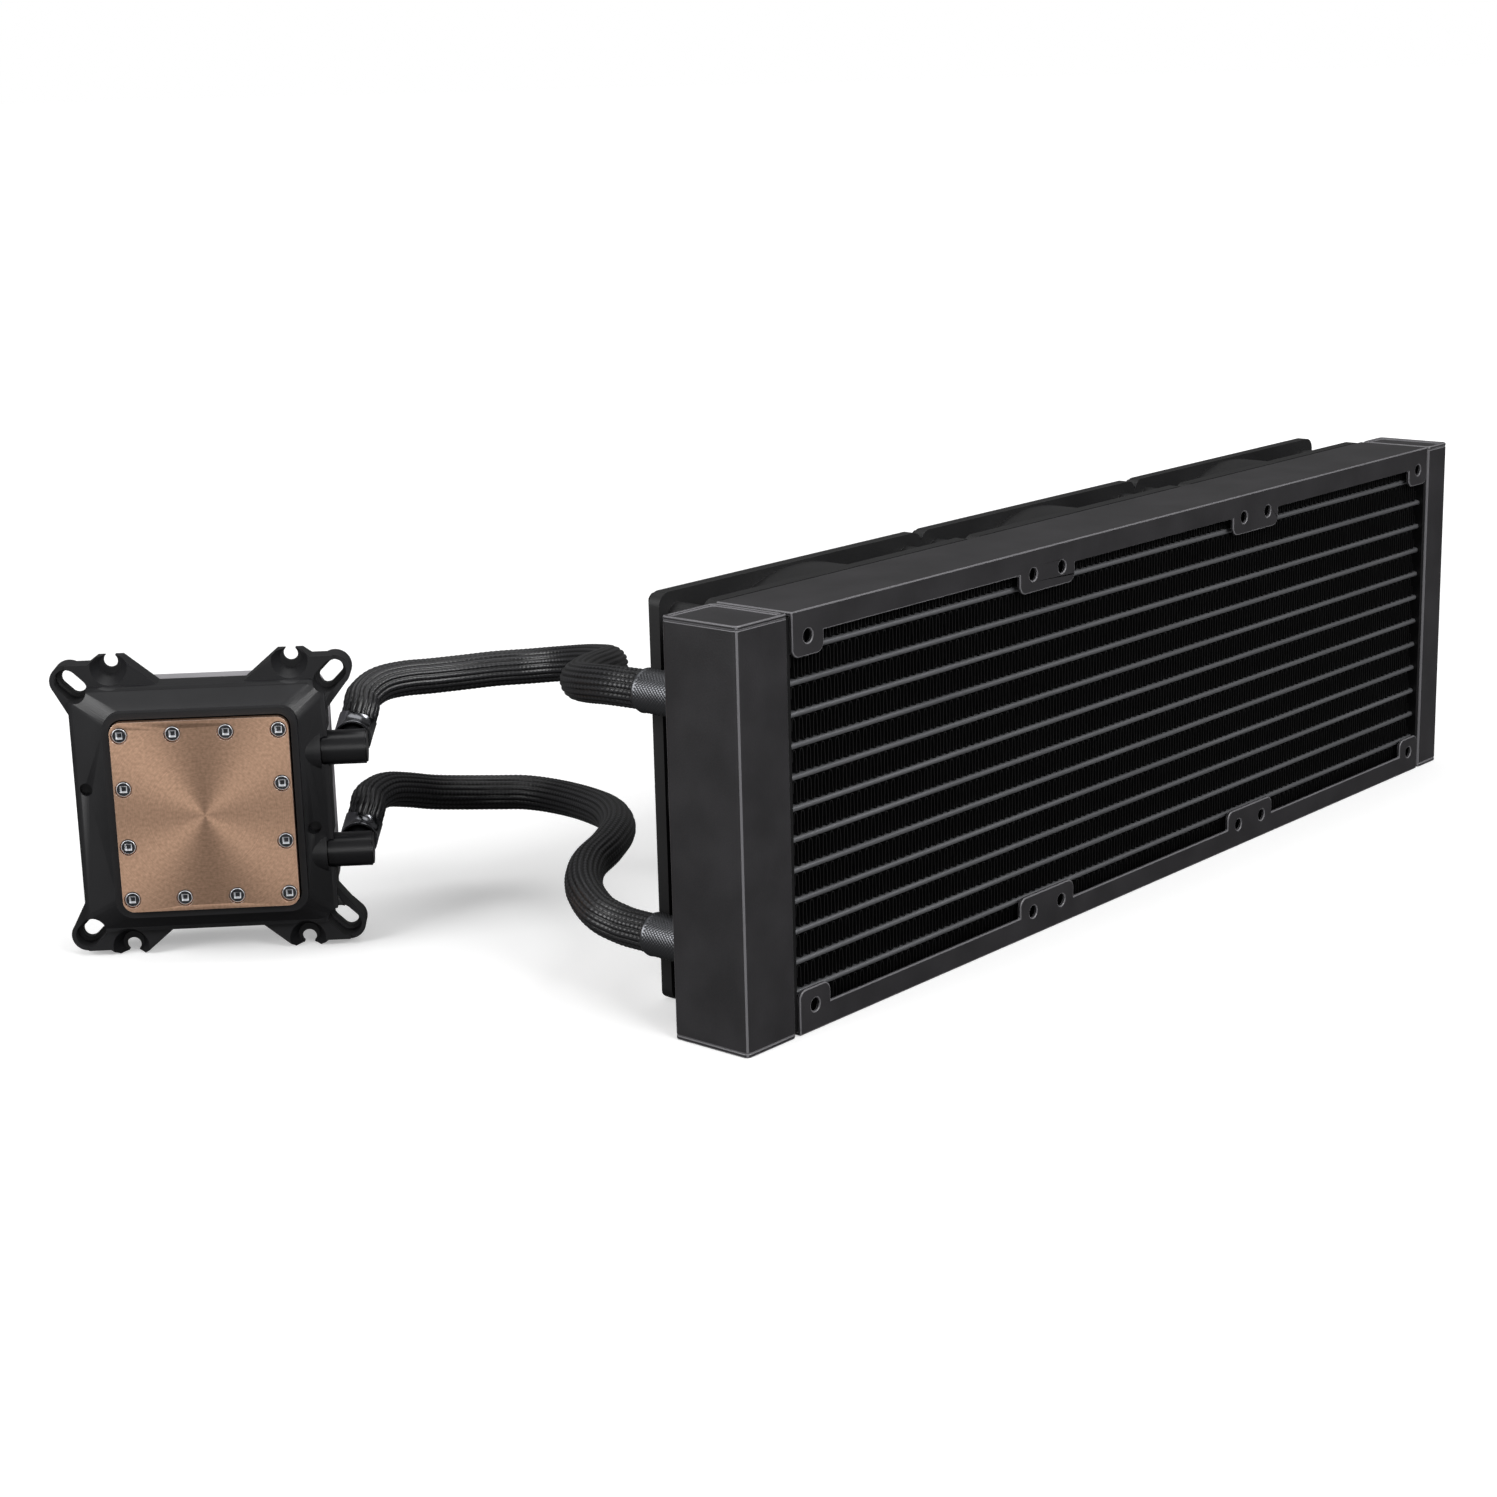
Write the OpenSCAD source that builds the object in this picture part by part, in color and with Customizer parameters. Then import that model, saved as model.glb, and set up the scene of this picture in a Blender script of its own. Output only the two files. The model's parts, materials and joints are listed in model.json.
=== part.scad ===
// All-in-one liquid cooler: a three-fan radiator, a pump block and the two hoses between them.
// Millimetres. +X runs along the radiator, +Y from its open face to its fans, +Z up.
// The origin is on the floor, under the middle of the whole assembly.

/* [Radiator] */
// Overall length of the radiator
radiator_length = 396; // [330:1:460]
// Overall height of the radiator
radiator_height = 120; // [118:1:150]
// Depth of the radiator without its fans
radiator_depth = 27; // [22:0.5:40]
// Width of the tank that carries the two hose fittings
near_tank_width = 21; // [18:0.5:30]
// Width of the plain tank at the other end
far_tank_width = 13.8; // [10:0.2:25]
// Wall of both tanks
tank_wall = 1.5; // [1:0.1:2.5]
// Thickness of the tanks' end caps
cap_thickness = 1.3; // [1:0.1:3]
// Thickness of the plates that the tubes enter
header_thickness = 1.4; // [0.8:0.1:2.5]
// Sheet thickness of the two channel rails
rail_thickness = 1.2; // [0.8:0.1:2]
// Height of a rail's flange between the screw tabs
flange_height = 7; // [5:0.5:9]
// How far a screw tab reaches past its hole
tab_beyond_hole = 5.5; // [4:0.5:8]

/* [Core] */
// Number of flat coolant tubes
tube_count = 12; // [4:1:12]
// Distance from one tube to the next
tube_pitch = 8.8; // [7:0.1:9.4]
// Outside thickness of a tube
tube_thickness = 1.8; // [1.4:0.1:2.5]
// Wall of a tube
tube_wall = 0.4; // [0.2:0.05:0.5]
// How far the core lies behind each face of the radiator
core_recess = 2.5; // [1.5:0.1:5]
// Length of one full wave of the fin strip
fin_pitch = 12; // [6:1:24]
// Thickness of the fin strip
fin_thickness = 0.4; // [0.2:0.05:0.8]

/* [Radiator fittings] */
// Distance of each hose fitting from the middle of the tank's height
fitting_offset = 35.3; // [25:0.1:42]
// Length of a radiator ferrule
ferrule_length = 16.4; // [10:0.1:25]
// Outside radius of a radiator ferrule
ferrule_radius = 6.4; // [6.1:0.1:9]
// Radius of the bore through every fitting
flow_radius = 2.5; // [1.5:0.1:3]

/* [Fans] */
// Side of a fan's square frame
fan_size = 120; // [120:1:140]
// Thickness of a fan with its pads
fan_thickness = 25; // [22:0.5:38]
// Distance between a fan's screw holes
fan_hole_spacing = 105; // [100:0.5:108]
// Radius of the screw holes in a fan frame
fan_hole_radius = 2.2; // [1.8:0.05:2.6]
// Height of one corner pad
pad_thickness = 0.5; // [0.3:0.1:1.5]
// Thickness of a frame's two flanges
fan_flange = 4; // [3:0.5:6]
// Wall of the round duct
duct_wall = 1.8; // [1.2:0.1:2.2]
// Radius of the rotor over its blade tips
rotor_radius = 56.4; // [45:0.1:56.6]
// Radius of the rotor's hub
hub_radius = 20.5; // [20.5:0.1:26]
// Number of blades
blade_count = 9; // [3:1:11]
// Pitch angle of a blade
blade_pitch = 34; // [20:1:40]
// Thickness of a blade
blade_thickness = 1.6; // [1:0.1:2]
// Radius of a rotor shaft
shaft_radius = 1.5; // [1:0.1:2]

/* [Pump block] */
// Width of the copper cold plate
plate_width = 53; // [52:0.5:56]
// Height of the copper cold plate
plate_height = 59; // [58:0.5:62]
// Thickness of the cold plate
plate_thickness = 3; // [2:0.1:5]
// Corner radius of the cold plate
plate_corner = 3.5; // [2:0.1:6]
// Contact face of the plate in front of the socket plane
plate_face = 17.3; // [15:0.1:22]
// Side of the square cover
cover_size = 72.8; // [72:0.2:76]
// Wall of the cover
cover_wall = 1.6; // [1.2:0.1:3]
// Back of the cover behind the socket plane
cover_back = 21; // [18:0.1:30]
// Radius of the impeller
impeller_radius = 13.5; // [8:0.1:15]
// Distance of each hose port from the middle of the block
port_offset = 16.2; // [14:0.1:17]
// Axis of the ports in front of the socket plane
port_depth = 4.2; // [3:0.1:4.6]
// Radius of the swivel stubs
stub_radius = 5.3; // [5:0.1:5.6]

/* [Bracket] */
// Socket hole spacing across the block
notch_span_x = 54; // [50:0.5:56]
// Socket hole spacing up the block
notch_span_y = 90; // [88:0.5:96]
// Radius of the open socket notches
notch_radius = 2.2; // [1.8:0.1:2.6]
// Smallest square socket pattern that the slots take
slot_span_min = 75; // [72:0.5:76]
// Largest square socket pattern that the slots take
slot_span_max = 80; // [78:0.5:84]
// Half width of the slots
slot_radius = 2.4; // [2:0.1:3]
// Front face of the bracket's frame above the socket plane
bracket_front = 8; // [6.5:0.1:9]

/* [Hoses] */
// Outside radius of both hoses
hose_radius = 5.5; // [5.3:0.1:5.7]

/* [Hidden] */
$fn = 64;

clearance = 0.3;       // between pieces that are put together by hand
running = 0.05;        // round a shaft that turns in its bearing
screw_clearance = 0.1; // round a screw's shank
eps = 0.01;            // overshoot of a cut past the face that it opens

// Radiator places
left_end = -168.5;
right_end = left_end + radiator_length;
front_y = -117.2;
back_y = front_y + radiator_depth;
mid_z = radiator_height / 2;
near_header_x = left_end + near_tank_width;
core_x0 = near_header_x + header_thickness;
far_tank_x = right_end - far_tank_width;
core_x1 = far_tank_x - header_thickness;
core_length = core_x1 - core_x0;
core_mid_x = (core_x0 + core_x1) / 2;
near_tank_x = left_end + near_tank_width / 2;
tube_depth = radiator_depth - 2 * core_recess;
tube_end = 2;               // how far a tube reaches into a tank
tube_x0 = core_x0 - header_thickness - tube_end;
tube_x1 = core_x1 + header_thickness + tube_end;
tank_edge = 1.6;            // rounded outer edges of the tanks
cap_rim = 1.2;
cap_tray_depth = 0.6;
divider_thickness = 1.5;
fan_y = back_y + pad_thickness;
fan_xs = [for (i = [-1:1]) core_mid_x + i * fan_size];
hole_half = fan_hole_spacing / 2;
mount_hole_radius = 1.9;    // open holes in the front flange
thread_radius = 1.5;        // fan screws
tab_height = radiator_height / 2 - hole_half + tab_beyond_hole;
tab_width = 13.6;           // one screw tab
tab_corner = 3;
plug_radius = 4;
plug_seal_height = 1;
plug_reach = 2.6;
plug_x = far_tank_x + far_tank_width / 2;
plug_z = radiator_height - 22;

// Fitting places
barb_radius = 4;
barb_in_tank = 1;
mouth_y = back_y + ferrule_length;
ferrule_bore = 5.15;

// Fan details, along the fan's own axis from its radiator side
duct_radius = rotor_radius + 1;
frame_z0 = pad_thickness;
frame_z1 = fan_thickness - pad_thickness;
frame_corner = 4;
base_radius = 20;
base_z1 = 3;
strut_width = 5;
bearing_outer = shaft_radius + 1.6;
tube_outer = bearing_outer + 1.6;
bearing_z0 = 4;
bearing_z1 = fan_thickness - 9;
hub_z0 = 4.6;
hub_z1 = fan_thickness - 1.6;
hub_wall = 1.6;
magnet_wall = 1.8;
stator_radius = hub_radius - hub_wall - magnet_wall - 1;
board_z = base_z1;
board_thickness = 1.2;
stator_z0 = 7.4;
stator_z1 = bearing_z1 - 1.6;
pole_width = 3;
coil_margin = 1.2;
pad_side = 14;
fan_head_radius = 3;
fan_head_height = 1.7;
screw_reach = rail_thickness + 0.6;

// Pump block places: x across, y up, z out of the copper face, turned 45 degrees to the radiator
pump_x = -191.6;
pump_y = 78.8;
pump_turn = 45;
hook_reach = notch_span_y / 2 + 1.8;
pump_z = hook_reach;
plate_back = plate_face - plate_thickness;
plate_screw_x = plate_width / 2 - 2.95;
plate_screw_y = plate_height / 2 - 3.95;
plate_screws = [
    for (sx = [-1, 1], sy = [-1, 1]) [sx * plate_screw_x, sy * plate_screw_y],
    for (sx = [-1, 1], sy = [-1, 1]) [sx * plate_screw_x / 3, sy * plate_screw_y],
    for (sx = [-1, 1], sy = [-1, 1]) [sx * plate_screw_x, sy * plate_screw_y * 0.352]];
head_radius = 2.2;
head_seat_radius = 2.6;
head_seat_depth = 1.4;
plate_shank = 1;
plate_screw_depth = 8;
gasket_x = plate_width - 15;
gasket_y = plate_height - 17;
gasket_width = 2.6;
gasket_depth = 1;
block_front = plate_back;
flange_front = -2;          // the bracket's back rests on it
flange_back = -6;
flange_size = cover_size - 2 * cover_wall - 2 * clearance;
plenum_x = 30;
plenum_y = 34;
plenum_floor = 8;
guide_thickness = 1.5;
riser_x = 11.5;             // where the coolant rises from the lower port to the plate
chamber_radius = impeller_radius + 1.5;
chamber_floor = 2;
can_bore = 9.5;
can_wall = 1;
can_floor = -11;
can_back = -12.2;
pin_radius = 1;
pin_seat = 0.6;
impeller_hub = 3;
vane_count = 7;
vane_thickness = 1;
rotor_gap = 0.6;
yoke_outer = 20;
yoke_inner = 17;
tooth_count = 6;
tooth_width = 4;
board_front = -13.4;
board_back = -15;
post_radius = 2.5;
post_at = 24;
cover_corner = 9;
cover_chamfer = 3.1;
cover_screw_at = 28.5;
cover_screw_radius = 1.25;
cover_head_radius = 2.3;
cover_head_height = 1.9;
face_radius = 27;
face_recess = 1;

// Ports and swivel elbows
boss_end = 34.8;
boss_radius = 5.8;
spigot_radius = 4;
spigot_end = 24;
pod_end = 35;
pod_radius = 7;
stub_start = pod_end + 0.2;
stub_end = 48.8;
outlet_x = 43.7;
outlet_rise = 0.6;
sleeve_radius = 5.9;
sleeve_base = -2.7;
sleeve_straight = 0.7;
sleeve_bend_radius = 9.5;
sleeve_bend = 60;
sleeve_lean = 20;
bend_step = 0.15;           // the bend is this much slimmer than the straight end it grows from
seal_x = 28;
seal_radius = 0.45;

// Bracket
bracket_left = 39.5;
bracket_right = 37;
bracket_half_height = 38.3;
bracket_corner = 5;
window_clearance = 0.5;
window_wall = 2;
lip_height = 15.2;
ramp_height = 12;
skirt = 1.8;
skin = 3;
lug_front = 5.5;
ear_front = 4.5;
slot_plane = -1.4;
pocket_radius = slot_radius + 1.3;
ear_radius = pocket_radius + 1.3;
cone_floor_radius = 3.2;
cone_slope = 0.42;          // how much wider the cone grows for each millimetre of height
cone_shift = 1;             // its axis lies this much nearer the window than the notch
neck_width = 3;
side_hole_radius = 2;
side_hole_depth = 2.5;
side_hole_left = [-36, 7.3];
side_hole_right = [31.7, -7.3];

s45 = sin(pump_turn);
function pump_point(p) =
    [pump_x + s45 * (p[0] - p[2]), pump_y - s45 * (p[0] + p[2]), pump_z + p[1]];
function pump_vector(p) = [s45 * (p[0] - p[2]), -s45 * (p[0] + p[2]), p[1]];
function outlet_point(port_y) = [outlet_x, port_y + outlet_rise, sleeve_base - sleeve_straight];
lean = [sin(sleeve_lean), cos(sleeve_lean), 0];
function mouth_local(port_y) =
    outlet_point(port_y) + sleeve_bend_radius * (1 - cos(sleeve_bend)) * lean
    - [0, 0, sleeve_bend_radius * sin(sleeve_bend)];
mouth_way = pump_vector(sin(sleeve_bend) * lean - [0, 0, cos(sleeve_bend)]);

// Hose routes between their two mouths, laid by hand
lead = 3;
upper_route = [
    [-146.5, 57.5, 73.5], [-139.5, 58, 76], [-131, 56.5, 76.5], [-121.5, 53.5, 76],
    [-112.5, 49, 76], [-104, 42.5, 76.5], [-97, 34.5, 77], [-93, 23.5, 78.5], [-94, 9.5, 81],
    [-102, -6, 84], [-115.5, -17.5, 87], [-131.5, -26, 89], [-146, -36.5, 91],
    [-155, -49, 93.5], [-158, -61, 95]];
lower_route = [
    [-146, 58, 40.5], [-137.5, 60.5, 41], [-127, 62, 38.5], [-116.5, 61.5, 35.5],
    [-106, 58.5, 33.5], [-97, 52.5, 32.5], [-91, 43.5, 32.5], [-89, 30, 32.5],
    [-93, 13, 33.5], [-101.5, -4, 35], [-113.5, -18, 35.5], [-127.5, -27, 35],
    [-142, -33, 33.5], [-152, -41, 30.5], [-157.5, -52, 27], [-158, -62, 25]];

// ---- shapes that repeat ----

// Rectangle [w, h] centred on the origin with round corners of radius r
module round_rect(w, h, r) {
    square([w - 2 * r, h], center = true);
    square([w, h - 2 * r], center = true);
    for (x = [-1, 1], y = [-1, 1]) translate([x * (w / 2 - r), y * (h / 2 - r)]) circle(r);
}

// Upright block with round corners from z0 to z1
module round_block(w, h, r, z0, z1) {
    translate([0, 0, z0]) linear_extrude(z1 - z0) round_rect(w, h, r);
}

module rod(r, z0, z1) {
    translate([0, 0, z0]) cylinder(r = r, h = z1 - z0);
}

module tube(outer, inner, z0, z1) {
    difference() {
        rod(outer, z0, z1);
        rod(inner, z0 - eps, z1 + eps);
    }
}

// Slot shape from point a to point b
module obround(a, b, r) {
    way = b - a;
    translate(a) rotate(atan2(way[1], way[0])) {
        circle(r);
        translate([norm(way), 0]) circle(r);
        translate([0, -r]) square([norm(way), 2 * r]);
    }
}

// A rod along +X, from x0 to x1
module rod_x(r, x0, x1) {
    translate([x0, 0, 0]) rotate([0, 90, 0]) cylinder(r = r, h = x1 - x0);
}

// A rod along +Y, from y0 to y1
module rod_y(r, y0, y1) {
    translate([0, y0, 0]) rotate([-90, 0, 0]) cylinder(r = r, h = y1 - y0);
}

// Places for the pump block and for one fan
module at_pump() {
    translate([pump_x, pump_y, pump_z]) rotate([90, 0, -pump_turn]) children();
}

module at_fan(i) {
    translate([fan_xs[i], fan_y - pad_thickness, mid_z]) rotate([-90, 0, 0]) children();
}

module at_corners(half_x, half_y) {
    for (x = [-1, 1], y = [-1, 1]) translate([x * half_x, y * half_y, 0]) children();
}

// ---- radiator ----

// A tank is a folded box: open towards the core, with its ends closed by caps
module tank_shell(x, width, open_side) {
    inner_x = open_side > 0 ? x + tank_wall : x - eps;
    translate([0, 0, cap_thickness]) difference() {
        translate([x + width / 2, front_y + radiator_depth / 2, 0])
            round_block(width, radiator_depth, tank_edge, 0, radiator_height - 2 * cap_thickness);
        translate([inner_x, front_y + tank_wall, -eps])
            cube([width - tank_wall + eps, radiator_depth - 2 * tank_wall, radiator_height]);
    }
}

module fitting_places() {
    for (side = [-1, 1]) translate([near_tank_x, 0, mid_z + side * fitting_offset]) children();
}

module near_tank() {
    color("#2b2c2e") difference() {
        tank_shell(left_end, near_tank_width, 1);
        fitting_places() rod_y(barb_radius + screw_clearance, back_y - tank_wall - eps, back_y + eps);
    }
}

module far_tank() {
    color("#2b2c2e") difference() {
        tank_shell(far_tank_x, far_tank_width, -1);
        translate([plug_x, 0, plug_z])
            rod_y(plug_radius - 1 + screw_clearance, back_y - tank_wall - eps, back_y + eps);
    }
}

// End caps with a shallow tray inside a raised rim
module tank_caps(x, width) {
    for (top = [0, 1]) translate([x + width / 2, front_y + radiator_depth / 2, mid_z])
        mirror([0, 0, 1 - top]) difference() {
            round_block(width, radiator_depth, tank_edge,
                radiator_height / 2 - cap_thickness, radiator_height / 2);
            round_block(width - 2 * cap_rim, radiator_depth - 2 * cap_rim, tank_edge,
                radiator_height / 2 - cap_tray_depth, radiator_height / 2 + eps);
        }
}

module near_tank_caps() { color("#2b2c2e") tank_caps(left_end, near_tank_width); }

module far_tank_caps() { color("#2b2c2e") tank_caps(far_tank_x, far_tank_width); }

// Splits the near tank into a hot half and a cool half
module tank_divider() {
    color("#8d8f92") translate([left_end + tank_wall, front_y + tank_wall, mid_z - divider_thickness / 2])
        cube([near_tank_width - tank_wall - tube_end - clearance, radiator_depth - 2 * tank_wall,
            divider_thickness]);
}

module tube_section(grow) {
    half = tube_depth / 2 - tube_thickness / 2;
    obround([-half, 0], [half, 0], tube_thickness / 2 + grow);
}

module tube_places() {
    for (i = [0:tube_count - 1])
        translate([0, front_y + radiator_depth / 2, mid_z + (i - (tube_count - 1) / 2) * tube_pitch])
            rotate([90, 0, 90]) children();
}

module header_plates() {
    height = radiator_height - 2 * cap_thickness;
    color("#1d1e20") difference() {
        for (x = [near_header_x, core_x1])
            translate([x, front_y + 1, cap_thickness])
                cube([header_thickness, radiator_depth - 2, height]);
        tube_places() translate([0, 0, tube_x0]) linear_extrude(tube_x1 - tube_x0)
            tube_section(screw_clearance);
    }
}

module coolant_tubes() {
    color("#9a9c9f") tube_places() translate([0, 0, tube_x0]) linear_extrude(tube_x1 - tube_x0)
        difference() {
            tube_section(0);
            tube_section(-tube_wall);
        }
}

// One strip folded into square waves of height h, standing in X and Z
module fin_strip(h) {
    waves = floor((core_length - fin_thickness) / fin_pitch);
    half = fin_pitch / 2;
    run = waves * fin_pitch;
    for (i = [0:waves - 1]) translate([i * fin_pitch, 0]) {
        square([fin_thickness, h]);
        translate([half, 0]) square([fin_thickness, h]);
        translate([0, h - fin_thickness]) square([half, fin_thickness]);
        translate([half, 0]) square([half, fin_thickness]);
    }
    translate([run, 0]) square([fin_thickness, h]);
}

module fin_rows() {
    waves = floor((core_length - fin_thickness) / fin_pitch);
    start = core_x0 + (core_length - waves * fin_pitch - fin_thickness) / 2;
    first_tube = mid_z - (tube_count - 1) / 2 * tube_pitch;
    inner = tube_pitch - tube_thickness;
    outer = first_tube - tube_thickness / 2 - rail_thickness;
    color("#19191b") for (i = [0:tube_count]) {
        edge = i == 0 || i == tube_count;
        z = i == 0 ? rail_thickness : first_tube + (i - 1) * tube_pitch + tube_thickness / 2;
        translate([start, front_y + radiator_depth / 2 + tube_depth / 2, z])
            rotate([90, 0, 0]) linear_extrude(tube_depth) fin_strip(edge ? outer : inner);
    }
}

// Flange outline in X and Z from the bottom edge up: a low band with a taller tab at each hole
module flange_outline() {
    square([core_length, flange_height]);
    hole_z = radiator_height / 2 - hole_half;
    for (x = fan_xs, side = [-1, 1]) translate([x + side * hole_half - core_x0, 0]) {
        at = min(tab_width / 2, core_length - (x + side * hole_half - core_x0));
        translate([-tab_width / 2, 0]) square([tab_width / 2 + at, tab_height - tab_corner]);
        translate([-tab_width / 2 + tab_corner, 0]) square([tab_width / 2 + at - 2 * tab_corner, tab_height]);
        for (c = [-tab_width / 2 + tab_corner, at - tab_corner])
            translate([c, tab_height - tab_corner]) circle(tab_corner);
    }
    for (x = [fan_xs[0], fan_xs[1]]) translate([x + fan_size / 2 - core_x0, tab_height / 2])
        square([fan_size - fan_hole_spacing, tab_height], center = true);
}

// Channel rail: a web under the core and a flange up each face
module rail() {
    hole_z = radiator_height / 2 - hole_half;
    difference() {
        union() {
            translate([core_x0, front_y, 0]) cube([core_length, radiator_depth, rail_thickness]);
            for (y = [front_y + rail_thickness, back_y])
                translate([core_x0, y, 0]) rotate([90, 0, 0]) linear_extrude(rail_thickness)
                    intersection() {
                        flange_outline();
                        square([core_length, tab_height]);
                    }
        }
        for (x = fan_xs, side = [-1, 1]) translate([x + side * hole_half, 0, hole_z]) {
            rod_y(mount_hole_radius, front_y - eps, front_y + rail_thickness + eps);
            rod_y(thread_radius + screw_clearance, back_y - rail_thickness - eps, back_y + eps);
        }
    }
}

module bottom_rail() { color("#26272a") rail(); }

module top_rail() { color("#26272a") translate([0, 0, radiator_height]) mirror([0, 0, 1]) rail(); }

module fill_plug() {
    color("#3a3b3e") translate([plug_x, 0, plug_z]) difference() {
        union() {
            rod_y(plug_radius, back_y + plug_seal_height, back_y + plug_reach);
            rod_y(plug_radius - 1, back_y - 4, back_y + plug_seal_height);
        }
        translate([-0.6, back_y + plug_reach - 1, -plug_radius + 1]) cube([1.2, 2, 2 * plug_radius - 2]);
    }
}

module fill_plug_seal() {
    color("#111111") translate([plug_x, 0, plug_z]) difference() {
        rod_y(plug_radius - 0.2, back_y, back_y + plug_seal_height);
        rod_y(plug_radius - 1 + screw_clearance, back_y - eps, back_y + plug_seal_height + eps);
    }
}

// Brazed stubs that the hoses are pushed on
module radiator_barbs() {
    color("#a5a7aa") fitting_places() difference() {
        union() {
            rod_y(barb_radius, back_y - tank_wall - barb_in_tank, mouth_y - clearance);
            rod_y(barb_radius + 0.8, back_y, back_y + 1.2);
        }
        rod_y(flow_radius, back_y - tank_wall - barb_in_tank - eps, mouth_y);
    }
}

// Crimped sleeve round a barb and the end of its hose
module radiator_ferrule(side) {
    color("#3b3c3f") translate([near_tank_x, 0, mid_z + side * fitting_offset]) difference() {
        union() {
            rod_y(ferrule_radius, back_y, mouth_y - 0.6);
            rod_y(ferrule_radius - 0.5, back_y, mouth_y);
        }
        rod_y(ferrule_bore, back_y - eps, mouth_y + eps);
    }
}

module upper_radiator_ferrule() { radiator_ferrule(1); }

module lower_radiator_ferrule() { radiator_ferrule(-1); }

// ---- fans ----

module fan_frame(i) {
    color("#1f2022") at_fan(i) difference() {
        union() {
            round_block(fan_size, fan_size, frame_corner, frame_z0, frame_z0 + fan_flange);
            round_block(fan_size, fan_size, frame_corner, frame_z1 - fan_flange, frame_z1);
            intersection() {
                rod(duct_radius + duct_wall, frame_z0, frame_z1);
                round_block(fan_size, fan_size, frame_corner, frame_z0, frame_z1);
            }
            at_corners(hole_half, hole_half) rod(fan_hole_radius + 1.8, frame_z0, frame_z1);
        }
        rod(duct_radius, frame_z0 - eps, frame_z1 + eps);
        at_corners(hole_half, hole_half) rod(fan_hole_radius, frame_z0 - eps, frame_z1 + eps);
    }
    color("#1f2022") at_fan(i) difference() {
        union() {
            rod(base_radius, frame_z0, base_z1);
            rod(tube_outer, base_z1, bearing_z1 + 1);
            intersection() {
                for (a = [45:90:315]) rotate(a) translate([base_radius - 1, -strut_width / 2, frame_z0])
                    cube([duct_radius - base_radius + 2, strut_width, base_z1 - frame_z0]);
                rod(duct_radius + 0.5, frame_z0, base_z1);
            }
        }
        rod(bearing_outer + running, bearing_z0, bearing_z1 + 2);
    }
}

module fan_1_frame() { fan_frame(0); }

module fan_2_frame() { fan_frame(1); }

module fan_3_frame() { fan_frame(2); }

// A cambered blade section, extruded outwards and trimmed to the rotor's circle
module blade() {
    chord = 25;
    camber_radius = 34;
    rotate([90, 0, 90]) translate([0, 0, hub_radius - 1]) linear_extrude(rotor_radius - hub_radius + 3)
        rotate(blade_pitch) intersection() {
            translate([0, -camber_radius]) difference() {
                circle(camber_radius + blade_thickness / 2);
                circle(camber_radius - blade_thickness / 2);
            }
            translate([-chord / 2, -camber_radius / 3]) square([chord, camber_radius / 2]);
        }
}

module fan_rotor(i) {
    color("#26272a") at_fan(i) {
        difference() {
            rod(hub_radius, hub_z0, hub_z1);
            rod(hub_radius - hub_wall, hub_z0 - eps, hub_z1 - hub_wall);
            rod(shaft_radius, hub_z0, hub_z1 - hub_wall / 2);
        }
        intersection() {
            for (k = [0:blade_count - 1]) rotate(k * 360 / blade_count)
                translate([0, 0, fan_thickness / 2 + 1.5]) blade();
            tube(rotor_radius, hub_radius - 0.4, base_z1 + 1, frame_z1 - 0.4);
        }
    }
}

module fan_1_rotor() { fan_rotor(0); }

module fan_2_rotor() { fan_rotor(1); }

module fan_3_rotor() { fan_rotor(2); }

module fan_magnet(i) {
    color("#4a4640") at_fan(i) tube(hub_radius - hub_wall, hub_radius - hub_wall - magnet_wall,
        hub_z0 + 1.4, hub_z1 - hub_wall - 2);
}

module fan_1_magnet() { fan_magnet(0); }

module fan_2_magnet() { fan_magnet(1); }

module fan_3_magnet() { fan_magnet(2); }

module fan_shaft(i) {
    color("#c9cacc") at_fan(i) rod(shaft_radius, bearing_z0 + 0.4, hub_z1 - hub_wall / 2);
}

module fan_1_shaft() { fan_shaft(0); }

module fan_2_shaft() { fan_shaft(1); }

module fan_3_shaft() { fan_shaft(2); }

module fan_bearings() {
    color("#a08a52") for (i = [0:2]) at_fan(i) difference() {
        rod(bearing_outer, bearing_z0, bearing_z1);
        rod(shaft_radius + running, bearing_z0 + 0.3, bearing_z1 + eps);
    }
}

// Four-pole laminated core round the bearing tube
module fan_stators() {
    color("#7b7d80") for (i = [0:2]) at_fan(i) difference() {
        union() {
            rod(tube_outer + 2.2, stator_z0, stator_z1);
            intersection() {
                for (a = [0:90:270]) rotate(a) {
                    translate([0, -pole_width / 2, stator_z0])
                        cube([stator_radius, pole_width, stator_z1 - stator_z0]);
                    translate([stator_radius - 1.4, -stator_radius / 2, stator_z0])
                        cube([2, stator_radius, stator_z1 - stator_z0]);
                }
                rod(stator_radius, stator_z0, stator_z1);
            }
        }
        rod(tube_outer + screw_clearance, stator_z0 - eps, stator_z1 + eps);
    }
}

// One coil round each pole, between the pole's core and its shoe
module fan_windings() {
    coil_x0 = tube_outer + 2.2 + 0.3;
    coil_x1 = stator_radius - 1.4 - 0.3;
    color("#8a4a22") for (i = [0:2], a = [0:90:270]) at_fan(i) rotate(a) difference() {
        translate([coil_x0, -pole_width / 2 - coil_margin, stator_z0 - coil_margin])
            cube([coil_x1 - coil_x0, pole_width + 2 * coil_margin, stator_z1 - stator_z0 + 2 * coil_margin]);
        translate([coil_x0 - eps, -pole_width / 2 - screw_clearance, stator_z0 - screw_clearance])
            cube([coil_x1, pole_width + 2 * screw_clearance,
                stator_z1 - stator_z0 + 2 * screw_clearance]);
    }
}

module fan_boards() {
    color("#1f4a33") for (i = [0:2]) at_fan(i)
        tube(stator_radius, tube_outer + screw_clearance, board_z, board_z + board_thickness);
}

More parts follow.
